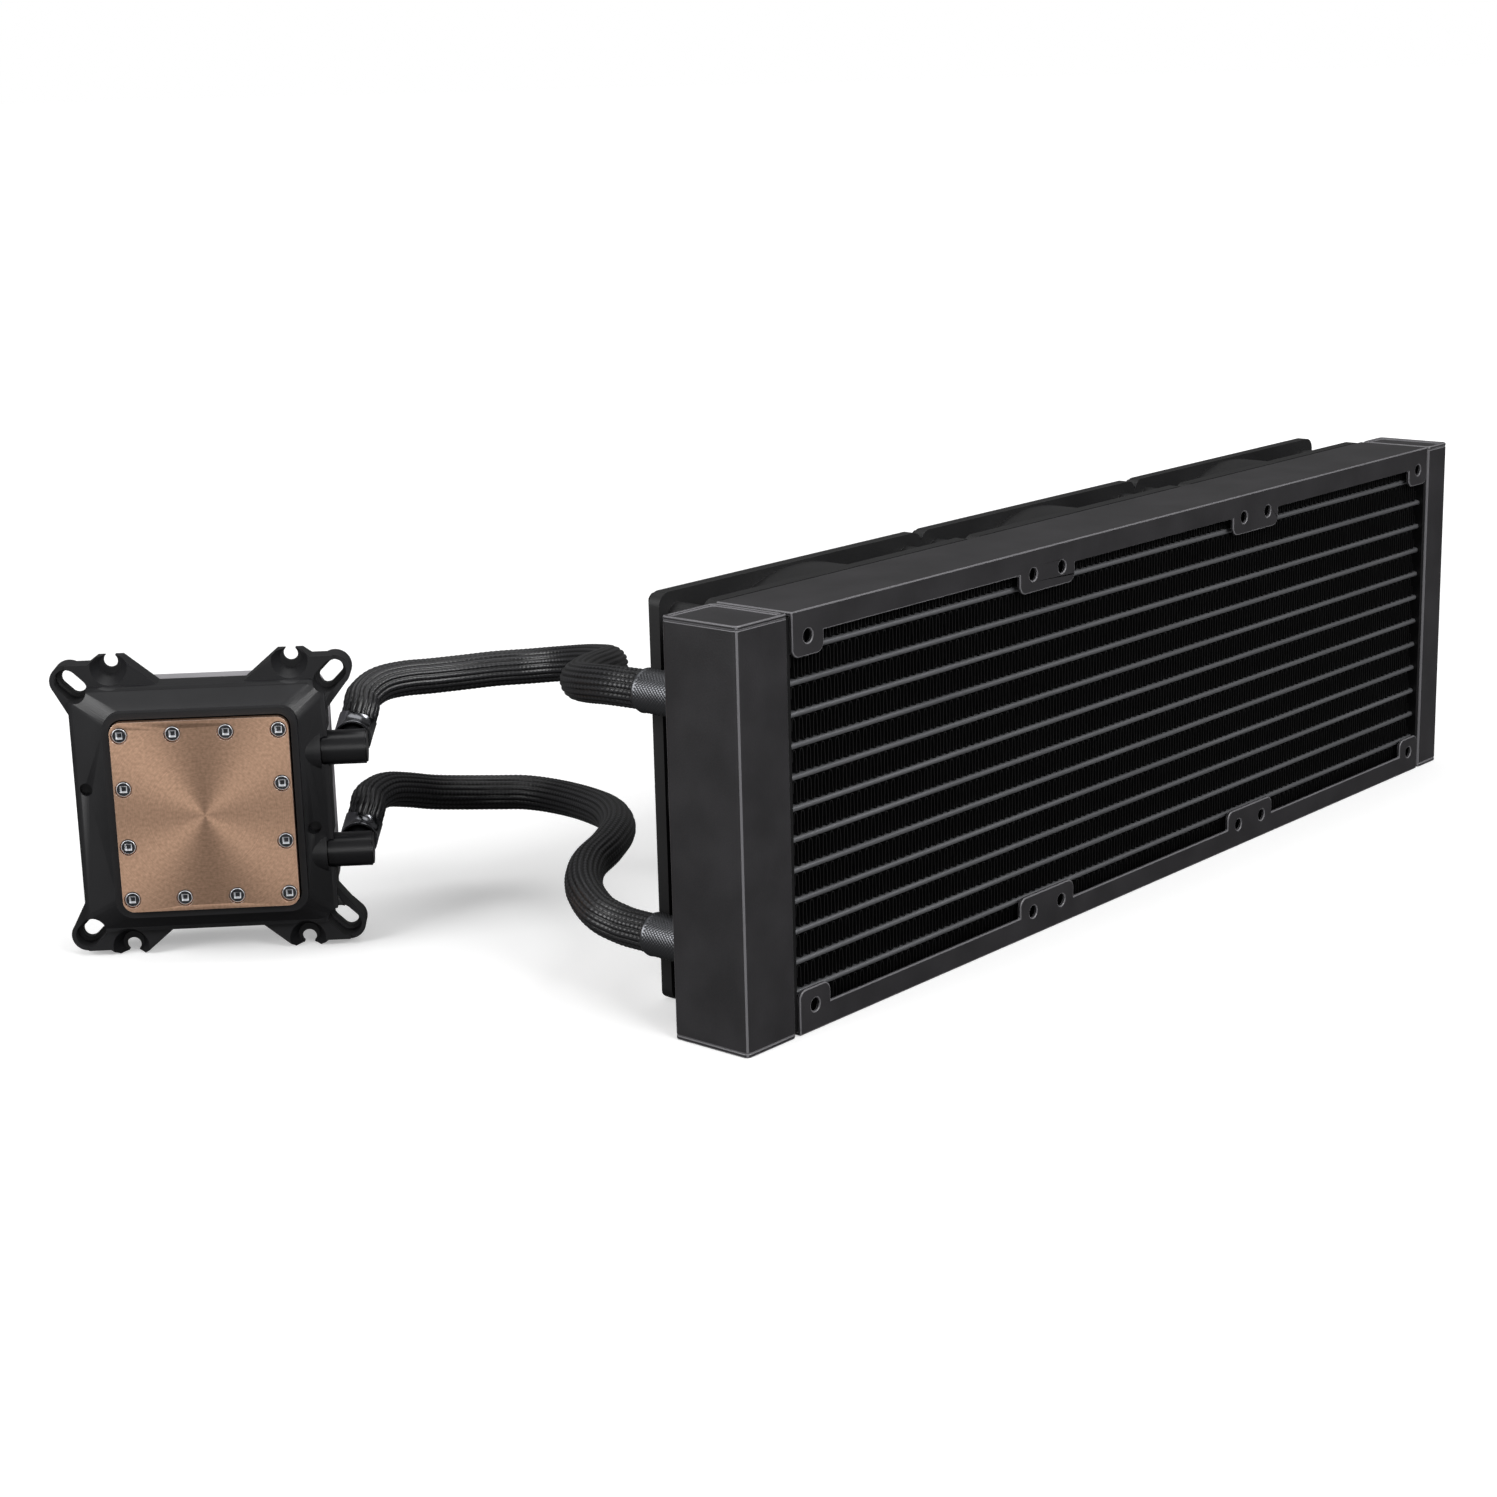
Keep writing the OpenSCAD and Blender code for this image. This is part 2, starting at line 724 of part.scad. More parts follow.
// Rubber corner pads on both faces of each fan
module fan_pads() {
    color("#141415") for (i = [0:2], z = [0, fan_thickness - pad_thickness]) at_fan(i)
        intersection() {
            difference() {
                at_corners(hole_half, hole_half) translate([0, 0, z])
                    linear_extrude(pad_thickness) round_rect(pad_side, pad_side, 2);
                rod(duct_radius + 0.2, z - eps, z + pad_thickness + eps);
                at_corners(hole_half, hole_half)
                    rod(fan_head_radius + 0.2, z - eps, z + pad_thickness + eps);
            }
            round_block(fan_size, fan_size, frame_corner, z, z + pad_thickness);
        }
}

// Long screws from each fan's outer face into the rail's back flange
module fan_screws() {
    color("#3c3d40") for (i = [0:2]) at_fan(i) at_corners(hole_half, hole_half) difference() {
        union() {
            rod(thread_radius, -screw_reach, frame_z1);
            rod(fan_head_radius, frame_z1, frame_z1 + fan_head_height);
        }
        for (a = [0, 90]) rotate(a) translate([-1.8, -0.4, frame_z1 + fan_head_height - 0.9])
            cube([3.6, 0.8, 1]);
    }
}

// ---- pump block ----

module cold_plate() {
    fin_side = 26;
    fin_gap = 1.2;
    fin_height = 2.4;
    color("#c08a6c") at_pump() {
        difference() {
            round_block(plate_width, plate_height, plate_corner, plate_back, plate_face);
            for (p = plate_screws) translate(p) {
                rod(head_seat_radius, plate_face - head_seat_depth, plate_face + eps);
                rod(plate_shank + screw_clearance, plate_back - eps, plate_face);
            }
        }
        for (x = [-fin_side / 2:fin_gap:fin_side / 2]) translate([x, -fin_side / 2, plate_back - fin_height])
            cube([fin_gap / 2, fin_side, fin_height]);
    }
}

module plate_screws() {
    seat = plate_face - head_seat_depth;
    color("#8b8f94") at_pump() for (p = plate_screws) translate(p) difference() {
        union() {
            rod(head_radius, seat, plate_face - 0.2);
            rod(plate_shank, plate_back - plate_screw_depth + 0.6, seat);
        }
        translate([0, 0, plate_face - 0.9]) linear_extrude(1) square(1.7, center = true);
    }
}

module plate_gasket() {
    shrink = 0.2;
    color("#161616") at_pump() difference() {
        round_block(gasket_x - shrink, gasket_y - shrink, 4, block_front - gasket_depth + 0.05, block_front);
        round_block(gasket_x - 2 * gasket_width + shrink, gasket_y - 2 * gasket_width + shrink, 2,
            block_front - gasket_depth, block_front + eps);
    }
}

module port_places() {
    for (side = [-1, 1]) translate([0, side * port_offset, port_depth]) children();
}

module pump_housing() {
    color("#1a1b1d") at_pump() difference() {
        union() {
            round_block(plate_width, plate_height, plate_corner, flange_front - 1, block_front);
            round_block(flange_size, flange_size, cover_corner - 2, flange_back, flange_front);
            rod(can_bore + can_wall, can_back, flange_back);
            at_corners(post_at, post_at) rod(post_radius, board_front, flange_back);
            port_places() rod_x(boss_radius, plate_width / 2 - 4, boss_end);
        }
        round_block(plenum_x, plenum_y, 3, plenum_floor, block_front + eps);
        rod(chamber_radius, chamber_floor, plenum_floor + eps);
        rod(can_bore, can_floor, chamber_floor + eps);
        rod(pin_radius + 0.02, can_floor - pin_seat, can_floor + eps);
        difference() {
            round_block(gasket_x, gasket_y, 4, block_front - gasket_depth, block_front + eps);
            round_block(gasket_x - 2 * gasket_width, gasket_y - 2 * gasket_width, 2,
                block_front - gasket_depth - eps, block_front + 2 * eps);
        }
        port_places() {
            rod_x(spigot_radius + running, spigot_end - 0.4, boss_end + eps);
            rod_x(flow_radius, riser_x - flow_radius, spigot_end);
        }
        translate([0, port_offset, port_depth]) rod_x(flow_radius, 0, spigot_end);
        translate([riser_x, -port_offset, 0]) rod(flow_radius, port_depth, plenum_floor + eps);
        for (p = plate_screws) translate(p)
            rod(plate_shank + screw_clearance, block_front - plate_screw_depth, block_front + eps);
        at_corners(cover_screw_at, cover_screw_at) {
            rod(cover_screw_radius + screw_clearance, flange_back - eps, flange_front + eps);
            rod(cover_head_radius + screw_clearance, flange_front - cover_head_height - 0.1,
                flange_front + eps);
        }
    }
}

// Plate with a slit that sends the coolant onto the fins
module flow_guide() {
    color("#c8c3b4") at_pump() difference() {
        round_block(plenum_x - clearance, plenum_y - clearance, 3 - clearance / 2,
            plenum_floor, plenum_floor + guide_thickness);
        for (x = [-5, 5]) translate([x, 0, plenum_floor - eps]) linear_extrude(guide_thickness + 2 * eps)
            square([1.6, 18], center = true);
        translate([riser_x, -port_offset, 0])
            rod(flow_radius, plenum_floor - eps, plenum_floor + guide_thickness + eps);
        rod(pin_radius + 0.02, plenum_floor - eps, plenum_floor + pin_seat);
    }
}

module impeller() {
    disc = chamber_floor + rotor_gap;
    color("#d7d8d2") at_pump() difference() {
        union() {
            rod(impeller_radius, disc, disc + 1.2);
            rod(impeller_hub, can_floor + rotor_gap, plenum_floor - rotor_gap);
            intersection() {
                for (k = [0:vane_count - 1]) rotate(k * 360 / vane_count)
                    translate([2, -vane_thickness / 2, disc]) rotate(18)
                        cube([impeller_radius, vane_thickness, plenum_floor - rotor_gap - disc]);
                rod(impeller_radius, disc, plenum_floor);
            }
        }
        rod(pin_radius + running, can_floor - 1, plenum_floor + 1);
    }
}

module impeller_magnet() {
    color("#45423d") at_pump() tube(can_bore - rotor_gap, impeller_hub + 0.02,
        can_floor + rotor_gap, chamber_floor + rotor_gap);
}

module impeller_shaft() {
    color("#e8e6e0") at_pump() rod(pin_radius, can_floor - pin_seat, plenum_floor + pin_seat);
}

module pump_stator() {
    color("#7b7d80") at_pump() difference() {
        union() {
            tube(yoke_outer, yoke_inner, can_back + 0.6, flange_back);
            for (k = [0:tooth_count - 1]) rotate(k * 360 / tooth_count)
                translate([can_bore, -tooth_width / 2, can_back + 1.6])
                    cube([yoke_inner - can_bore + 0.6, tooth_width, flange_back - can_back - 2.6]);
        }
        rod(can_bore + can_wall + clearance, can_back - 1, flange_back + 1);
    }
}

module pump_windings() {
    x0 = can_bore + can_wall + 1.3;
    color("#8a4a22") at_pump() for (k = [0:tooth_count - 1]) rotate(k * 360 / tooth_count) difference() {
        translate([x0, -tooth_width / 2 - 0.9, can_back + 0.7])
            cube([yoke_inner - x0 - 0.9, tooth_width + 1.8, flange_back - can_back - 0.8]);
        translate([x0 - eps, -tooth_width / 2 - 0.1, can_back + 1.5])
            cube([yoke_inner, tooth_width + 0.2, flange_back - can_back - 2.4]);
    }
}

module circuit_board() {
    side = 2 * post_at + 8;
    color("#1f4a33") at_pump() {
        difference() {
            round_block(side, side, 3, board_back, board_front);
            at_corners(cover_screw_at, cover_screw_at) rod(4.4, board_back - eps, board_front + eps);
        }
        for (p = [[-14, 12, 7], [10, 14, 5], [4, -15, 9]]) translate([p[0], p[1], board_back - 1])
            linear_extrude(1) square(p[2], center = true);
    }
}

module top_cover() {
    inner = cover_size - 2 * cover_wall;
    reach = 2 * cover_size;
    color("#c3c4c8") at_pump() {
        difference() {
            round_block(cover_size, cover_size, cover_corner, -cover_back, flange_front);
            round_block(inner, inner, cover_corner - cover_wall, cover_wall - cover_back, flange_front + eps);
            for (a = [0:90:270]) rotate(a) translate([cover_size / 2, -reach / 2, -cover_back])
                rotate([0, 45, 0]) translate([-cover_chamfer / sqrt(2), 0, -reach / 2])
                    cube([reach, reach, reach]);
            rod(face_radius + 0.1, -cover_back - eps, face_recess - cover_back);
        }
        difference() {
            intersection() {
                at_corners(cover_screw_at, cover_screw_at)
                    rod(3.6, cover_wall - cover_back - 0.2, flange_back);
                round_block(inner + 1, inner + 1, cover_corner - cover_wall, -cover_back, flange_front);
            }
            at_corners(cover_screw_at, cover_screw_at)
                rod(cover_screw_radius + screw_clearance, -cover_back + 5, flange_back + eps);
        }
    }
}

module cover_face() {
    color("#0d0d0f") at_pump() rod(face_radius, -cover_back, face_recess - cover_back);
}

module cover_screws() {
    seat = flange_front - cover_head_height - 0.1;
    color("#3c3d40") at_pump() at_corners(cover_screw_at, cover_screw_at) {
        rod(cover_screw_radius, -cover_back + 6, seat);
        rod(cover_head_radius, seat, flange_front - 0.1);
    }
}

// ---- bracket ----

module bracket_outline(shrink) {
    width = bracket_left + bracket_right - 2 * shrink;
    translate([(bracket_right - bracket_left) / 2, 0])
        round_rect(width, 2 * (bracket_half_height - shrink), bracket_corner);
}

// Lug with an open notch, drawn for the corner at +x +y
module lug_outline() {
    nx = notch_span_x / 2;
    ear_top = slot_span_max / 2 + ear_radius - 0.1;
    polygon([[nx - 16, bracket_half_height - 6], [nx - 14, bracket_half_height],
        [nx - 3.9, hook_reach], [nx + 3.7, hook_reach], [nx + 6.3, ear_top],
        [slot_span_max / 2, ear_top], [slot_span_max / 2, slot_span_max / 2 - 4],
        [bracket_right - 3, bracket_half_height - 13], [bracket_right - 4, bracket_half_height - 8]]);
}

module ear_outline(r) {
    obround([slot_span_min / 2, slot_span_min / 2], [slot_span_max / 2, slot_span_max / 2], r);
}

// Just inside the point where a line from p touches a circle of radius r round c, on its outer side
function touch(c, r, p) =
    let (a = atan2(p[1] - c[1], p[0] - c[0]) + acos(r / norm(p - c))) c + (r - 0.05) * [cos(a), sin(a)];

// Web that runs straight from the side of the frame to the ear
module ear_web() {
    foot = [$side - 0.5, bracket_half_height - 10.8];
    polygon([[bracket_right - 8, bracket_half_height - 15], foot,
        touch([slot_span_max / 2, slot_span_max / 2], ear_radius, foot),
        [slot_span_min / 2, slot_span_min / 2 + 4], [bracket_right - 8, bracket_half_height]]);
}

module quadrants() {
    for (x = [0, 1], y = [0, 1]) mirror([x, 0, 0]) mirror([0, y, 0]) {
        $side = x == 0 ? bracket_right : bracket_left;
        children();
    }
}

module bracket_solid() {
    window_x = plate_width + 2 * window_clearance + 2 * window_wall;
    window_y = plate_height + 2 * window_clearance + 2 * window_wall;
    translate([0, 0, flange_front]) linear_extrude(bracket_front - flange_front) bracket_outline(0);
    hull() {
        translate([0, 0, bracket_front - 0.1]) linear_extrude(0.1) bracket_outline(1.2);
        round_block(window_x, window_y, plate_corner + 2, ramp_height - 0.1, ramp_height);
    }
    round_block(window_x, window_y, plate_corner + 2, flange_front, lip_height);
    quadrants() {
        translate([0, 0, flange_front]) linear_extrude(lug_front - flange_front) lug_outline();
        translate([0, 0, flange_front - 2])
            linear_extrude(ear_front - flange_front + 2) ear_outline(ear_radius);
        translate([0, 0, flange_front]) linear_extrude(ear_front - flange_front) ear_web();
    }
    port_places() rod_x(pod_radius, plate_width / 2 + 1.4, pod_end);
}

// Everything that is open on the real moulding
module bracket_cuts() {
    window_x = plate_width + 2 * window_clearance;
    window_y = plate_height + 2 * window_clearance;
    round_block(window_x, window_y, plate_corner + window_clearance, flange_front - 3, lip_height + 1);
    quadrants() {
        translate([notch_span_x / 2, notch_span_y / 2, 0]) {
            rod(notch_radius, flange_front - 1, lug_front + 1);
            translate([-neck_width / 2, 0, flange_front - 1]) cube([neck_width, 10, 20]);
            translate([0, -cone_shift, 0])
                cylinder(r1 = cone_floor_radius, r2 = cone_floor_radius + cone_slope * lip_height,
                    h = lip_height);
        }
        translate([0, 0, slot_plane]) linear_extrude(20) ear_outline(pocket_radius);
        translate([0, 0, flange_front - 3]) linear_extrude(20) ear_outline(slot_radius);
    }
    for (p = [side_hole_left, side_hole_right]) translate(p)
        rod(side_hole_radius, bracket_front - side_hole_depth, lip_height);
    round_block(cover_size + 2 * clearance, cover_size + 2 * clearance, cover_corner + clearance,
        flange_front - 5, flange_front);
    port_places() {
        rod_x(boss_radius + 0.2, plate_width / 2, pod_end + eps);
        rod_x(stub_radius + 0.5, pod_end, bracket_right + 1);
        translate([plate_width / 2, -boss_radius - 0.2, -20])
            cube([pod_end - plate_width / 2 + eps, 2 * boss_radius + 0.4, 20]);
        translate([pod_end, -stub_radius - 0.5, -20]) cube([5, 2 * stub_radius + 1, 20]);
    }
}

// The moulding is hollow from behind, between its skirt and the wall round the window
module bracket_hollow() {
    wall_x = plate_width + 2 * window_clearance + 2 * window_wall;
    wall_y = plate_height + 2 * window_clearance + 2 * window_wall;
    difference() {
        translate([0, 0, flange_front - eps])
            linear_extrude(bracket_front - skin - flange_front) bracket_outline(skirt);
        round_block(wall_x, wall_y, plate_corner + 2, flange_front - 1, bracket_front);
        port_places() rod_x(pod_radius, plate_width / 2, pod_end);
        quadrants() translate([notch_span_x / 2 - 8, bracket_half_height - 12, flange_front - 1])
            cube([20, 20, 20]);
    }
}

module mounting_bracket() {
    color("#232426") at_pump() difference() {
        bracket_solid();
        bracket_hollow();
        bracket_cuts();
    }
}

// ---- swivel elbows ----

module outlet_bend(port_y, angle) {
    translate(outlet_point(port_y)) rotate([0, 0, 270 - sleeve_lean]) rotate([-90, 0, 0])
        translate([-sleeve_bend_radius, 0, 0]) rotate_extrude(angle = angle)
            translate([sleeve_bend_radius, 0]) children();
}

module outlet_axis(port_y) {
    translate([outlet_x, port_y + outlet_rise, 0]) children();
}

module elbow(port_y) {
    start = sleeve_base - sleeve_straight;
    color("#2c2d30") at_pump() difference() {
        union() {
            translate([0, port_y, port_depth]) {
                rod_x(stub_radius, stub_start, stub_end - 0.5);
                rod_x(stub_radius - 0.5, stub_start, stub_end);
                rod_x(spigot_radius, spigot_end, stub_start + eps);
            }
            outlet_axis(port_y) rod(barb_radius, start - eps, port_depth);
            outlet_bend(port_y, sleeve_bend - 1) circle(barb_radius - bend_step);
        }
        translate([0, port_y, port_depth]) {
            rod_x(flow_radius, spigot_end - eps, outlet_x);
            translate([seal_x - 0.55, 0, 0]) difference() {
                rod_x(spigot_radius + 1, 0, 1.1);
                rod_x(spigot_radius - 0.95, -eps, 1.1 + eps);
            }
        }
        outlet_axis(port_y) rod(flow_radius, start - bend_step, port_depth);
        outlet_bend(port_y, sleeve_bend) circle(flow_radius - bend_step);
    }
}

module upper_elbow() { elbow(port_offset); }

module lower_elbow() { elbow(-port_offset); }

module elbow_seal(port_y) {
    color("#111111") at_pump() translate([seal_x, port_y, port_depth]) rotate([0, 90, 0])
        rotate_extrude() translate([spigot_radius - seal_radius, 0]) circle(seal_radius);
}

module upper_elbow_seal() { elbow_seal(port_offset); }

module lower_elbow_seal() { elbow_seal(-port_offset); }

// Curved crimp sleeve over an elbow's outlet and the end of its hose
module pump_ferrule(port_y) {
    color("#3b3c3f") at_pump() {
        outlet_axis(port_y) tube(sleeve_radius + bend_step, ferrule_bore - bend_step,
            sleeve_base - sleeve_straight - eps, sleeve_base);
        outlet_bend(port_y, sleeve_bend) difference() {
            circle(sleeve_radius);
            circle(ferrule_bore);
        }
    }
}

module upper_pump_ferrule() { pump_ferrule(port_offset); }

module lower_pump_ferrule() { pump_ferrule(-port_offset); }

// ---- hoses ----

function radiator_mouth(side) = [near_tank_x, mouth_y, mid_z + side * fitting_offset];

// A whole route: pump mouth, a straight lead, the points laid by hand, a straight lead, radiator mouth
function hose_path(port_y, route, side) = concat(
    [pump_point(mouth_local(port_y)), pump_point(mouth_local(port_y)) + lead * mouth_way], route,
    [radiator_mouth(side) + [0, lead, 0], radiator_mouth(side)]);

function unit(v) = v / norm(v);
function way_at(p, i) = unit(p[min(i + 1, len(p) - 1)] - p[max(i - 1, 0)]);

// Ring of points round path point i, square to the path
function ring_at(p, i, sides) = let(
    t = way_at(p, i), across = unit(cross(t, [0, 0, 1])), up = cross(across, t))
    [for (k = [0:sides - 1])
        p[i] + hose_radius * (cos(k * 360 / sides) * across + sin(k * 360 / sides) * up)];

module hose(path) {
    sides = 12;
    rings = len(path);
    points = [for (i = [0:rings - 1]) each ring_at(path, i, sides)];
    walls = [for (i = [0:rings - 2], k = [0:sides - 1]) let(n = (k + 1) % sides)
        [i * sides + k, i * sides + n, (i + 1) * sides + n, (i + 1) * sides + k]];
    first = [for (k = [sides - 1:-1:0]) k];
    last = [for (k = [0:sides - 1]) (rings - 1) * sides + k];
    color("#1b1b1d") polyhedron(points, concat([first], walls, [last]), convexity = 6);
}

module upper_hose() { hose(hose_path(port_offset, upper_route, 1)); }

module lower_hose() { hose(hose_path(-port_offset, lower_route, -1)); }

near_tank();
near_tank_caps();
tank_divider();
far_tank();
far_tank_caps();
header_plates();
coolant_tubes();
fin_rows();
top_rail();
bottom_rail();
fill_plug();
fill_plug_seal();
radiator_barbs();
upper_radiator_ferrule();
lower_radiator_ferrule();
fan_1_frame();
fan_2_frame();
fan_3_frame();
fan_1_rotor();
fan_2_rotor();
fan_3_rotor();
fan_1_magnet();
fan_2_magnet();
fan_3_magnet();
fan_1_shaft();
fan_2_shaft();
fan_3_shaft();
fan_bearings();
fan_stators();
fan_windings();
fan_boards();
fan_pads();
fan_screws();
cold_plate();
plate_screws();
plate_gasket();
mounting_bracket();
pump_housing();
flow_guide();
impeller();
impeller_magnet();
impeller_shaft();
pump_stator();
pump_windings();
circuit_board();
top_cover();
cover_face();
cover_screws();
upper_elbow();
lower_elbow();
upper_elbow_seal();
lower_elbow_seal();
upper_pump_ferrule();
lower_pump_ferrule();
upper_hose();
lower_hose();
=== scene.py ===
import json
import math

import bmesh
import bpy
import numpy as np
from mathutils import Matrix, Vector

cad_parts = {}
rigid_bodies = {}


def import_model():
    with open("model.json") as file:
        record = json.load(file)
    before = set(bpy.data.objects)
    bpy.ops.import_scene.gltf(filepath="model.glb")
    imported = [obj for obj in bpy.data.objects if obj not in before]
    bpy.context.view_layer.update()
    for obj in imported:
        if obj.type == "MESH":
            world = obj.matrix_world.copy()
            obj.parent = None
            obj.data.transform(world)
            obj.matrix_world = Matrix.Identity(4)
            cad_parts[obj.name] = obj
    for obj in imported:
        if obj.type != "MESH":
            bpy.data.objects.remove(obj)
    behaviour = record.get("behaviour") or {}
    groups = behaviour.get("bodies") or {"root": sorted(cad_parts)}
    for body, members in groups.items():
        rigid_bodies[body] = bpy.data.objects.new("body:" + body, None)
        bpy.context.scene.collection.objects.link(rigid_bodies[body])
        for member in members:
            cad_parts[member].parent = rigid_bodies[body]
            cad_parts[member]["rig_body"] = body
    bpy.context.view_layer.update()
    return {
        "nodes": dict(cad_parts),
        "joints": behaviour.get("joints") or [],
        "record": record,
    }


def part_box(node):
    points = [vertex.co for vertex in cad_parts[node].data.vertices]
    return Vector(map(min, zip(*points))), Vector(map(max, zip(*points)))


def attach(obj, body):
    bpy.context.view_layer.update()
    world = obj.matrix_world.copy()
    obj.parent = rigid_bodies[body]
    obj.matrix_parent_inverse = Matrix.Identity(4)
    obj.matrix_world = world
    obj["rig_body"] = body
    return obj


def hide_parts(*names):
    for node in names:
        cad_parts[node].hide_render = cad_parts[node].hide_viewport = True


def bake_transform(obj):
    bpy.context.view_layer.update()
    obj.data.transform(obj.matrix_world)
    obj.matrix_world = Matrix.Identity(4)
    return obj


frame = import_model()
joints = {joint["name"]: joint for joint in frame["joints"]}

# ---- Camera ----
# A long lens, low and to the left of the tank that carries the hose fittings, so that the copper face of the
# pump block and the open face of the radiator both show.
camera = bpy.data.objects.new("camera", bpy.data.cameras.new("camera"))
camera.data.lens = 66.22
camera.data.sensor_width = 36
camera.data.clip_start, camera.data.clip_end = 0.05, 20
camera.location = (-0.6968, -0.5826, 0.2664)
camera.rotation_euler = [math.radians(turn) for turn in (75.712, 1.454, -49.182)]
bpy.context.scene.collection.objects.link(camera)
bpy.context.scene.camera = camera

# ---- Studio ----
# A white sweep under large soft lamps: a broad one overhead, one to each side of the copper face, and a
# weak upright strip that draws a line down the tank's edge. The object itself sees a dimmer room than the
# camera does, so that black surfaces stay black between their highlights.
bpy.context.scene.view_settings.view_transform = "Standard"


def linear(hex_colour):
    """An sRGB hex colour as linear red, green, blue and alpha: c/12.92 up to 0.04045, and above it
    ((c+0.055)/1.055)^2.4."""
    channels = [int(hex_colour[i:i + 2], 16) / 255 for i in (1, 3, 5)]
    return [c / 12.92 if c <= 0.04045 else ((c + 0.055) / 1.055) ** 2.4 for c in channels] + [1.0]


def add_node(tree, kind, values=(), links=()):
    """Adds a shader node, sets its properties or input sockets from values, and links sockets into it."""
    made = tree.nodes.new("ShaderNode" + kind)
    for key, value in dict(values).items():
        if isinstance(key, str) and key.islower():
            setattr(made, key, value)
        else:
            made.inputs[key].default_value = value
    for key, source in dict(links).items():
        tree.links.new(source, made.inputs[key])
    return made


def new_material(name, hex_colour, sockets=()):
    """A material whose Principled shader has this colour and these socket values."""
    made = bpy.data.materials.new(name)
    made.use_nodes = True
    shader = made.node_tree.nodes["Principled BSDF"]
    shader.inputs["Base Color"].default_value = linear(hex_colour)
    for socket, value in dict(sockets).items():
        shader.inputs[socket].default_value = value
    return made


# The camera sees a white room; the object is lit by this share of it.
room_share = 0.13
world = bpy.data.worlds.new("white_room")
world.use_nodes = True
background = world.node_tree.nodes["Background"]
background.inputs["Color"].default_value = linear("#ffffff")
seen = add_node(world.node_tree, "LightPath").outputs["Is Camera Ray"]
dimmed = add_node(world.node_tree, "MapRange", {"To Min": room_share, "To Max": 1.0}, {"Value": seen})
world.node_tree.links.new(dimmed.outputs["Result"], background.inputs["Strength"])
bpy.context.scene.world = world


def soft_lamp(name, place, aim, size, watts):
    """A rectangular area lamp at a place, turned to face a point."""
    lamp = bpy.data.objects.new(name, bpy.data.lights.new(name, "AREA"))
    lamp.data.shape = "RECTANGLE"
    lamp.data.size, lamp.data.size_y = size
    lamp.data.energy = watts
    lamp.location = place
    lamp.rotation_euler = (Vector(aim) - Vector(place)).to_track_quat("-Z", "Y").to_euler()
    bpy.context.scene.collection.objects.link(lamp)


soft_lamp("overhead", (0.1, 0.15, 1.5), (0, 0, 0), (1.6, 1.2), 9)
soft_lamp("right_of_plate", (0.0, -1.45, 0.95), (-0.05, 0, 0.05), (1.5, 0.6), 29)
soft_lamp("left_of_plate", (-1.5, 0.35, 0.75), (-0.2, 0.06, 0.05), (0.9, 0.9), 21)
soft_lamp("upright_strip", (-1.55, -1.45, 0.45), (-0.17, -0.1, 0.06), (0.22, 0.9), 4)

floor_reach = 60
sweep = bpy.data.meshes.new("floor")
floor_corners = [(x * floor_reach, y * floor_reach, 0) for x, y in ((-1, -1), (1, -1), (1, 1), (-1, 1))]
sweep.from_pydata(floor_corners, [], [(0, 1, 2, 3)])
floor = bpy.data.objects.new("floor", sweep)
floor.location.z = -0.0001
bpy.context.scene.collection.objects.link(floor)
# White paper: where the lamps don't reach, it glows for the camera alone, so that it runs into the white
# wall.
paper = new_material("white_paper_sweep", "#ffffff", {
    "Roughness": 0.9, "Specular IOR Level": 0.0, "Emission Color": (1, 1, 1, 1)})
tree = paper.node_tree
shader = tree.nodes["Principled BSDF"]
seen = add_node(tree, "LightPath").outputs["Is Camera Ray"]
whiteness = add_node(tree, "MapRange", {"To Min": 0.1, "To Max": 0.8}, {"Value": seen})
tree.links.new(whiteness.outputs["Result"], shader.inputs["Base Color"])
away = add_node(tree, "VectorMath", {"operation": "LENGTH"},
                {0: add_node(tree, "TexCoord").outputs["Object"]})
glow = add_node(tree, "MapRange", {"From Min": 0.45, "From Max": 1.3, "To Min": 0.34, "To Max": 1.0},
                {"Value": away.outputs["Value"]})
shown = add_node(tree, "Math", {"operation": "MULTIPLY"}, {0: glow.outputs["Result"], 1: seen})
tree.links.new(shown.outputs["Value"], shader.inputs["Emission Strength"])
sweep.materials.append(paper)

# ---- Tanks of the radiator ----
# Folded aluminium boxes with pressed end caps, powder coated in satin black. The rounded edges and the middle
# of the upright bends get a paler coat: a painted highlight that shows as fine light lines.


def two_tone(tree, factor, dark, light, low=0.0, high=1.0):
    """A colour that runs from dark to light while a factor goes from low to high."""
    ramp = add_node(tree, "ValToRGB", {}, {"Fac": factor})
    for stop, place, shade in ((0, low, dark), (1, high, light)):
        ramp.color_ramp.elements[stop].position = place
        ramp.color_ramp.elements[stop].color = shade
    return ramp.outputs["Color"]


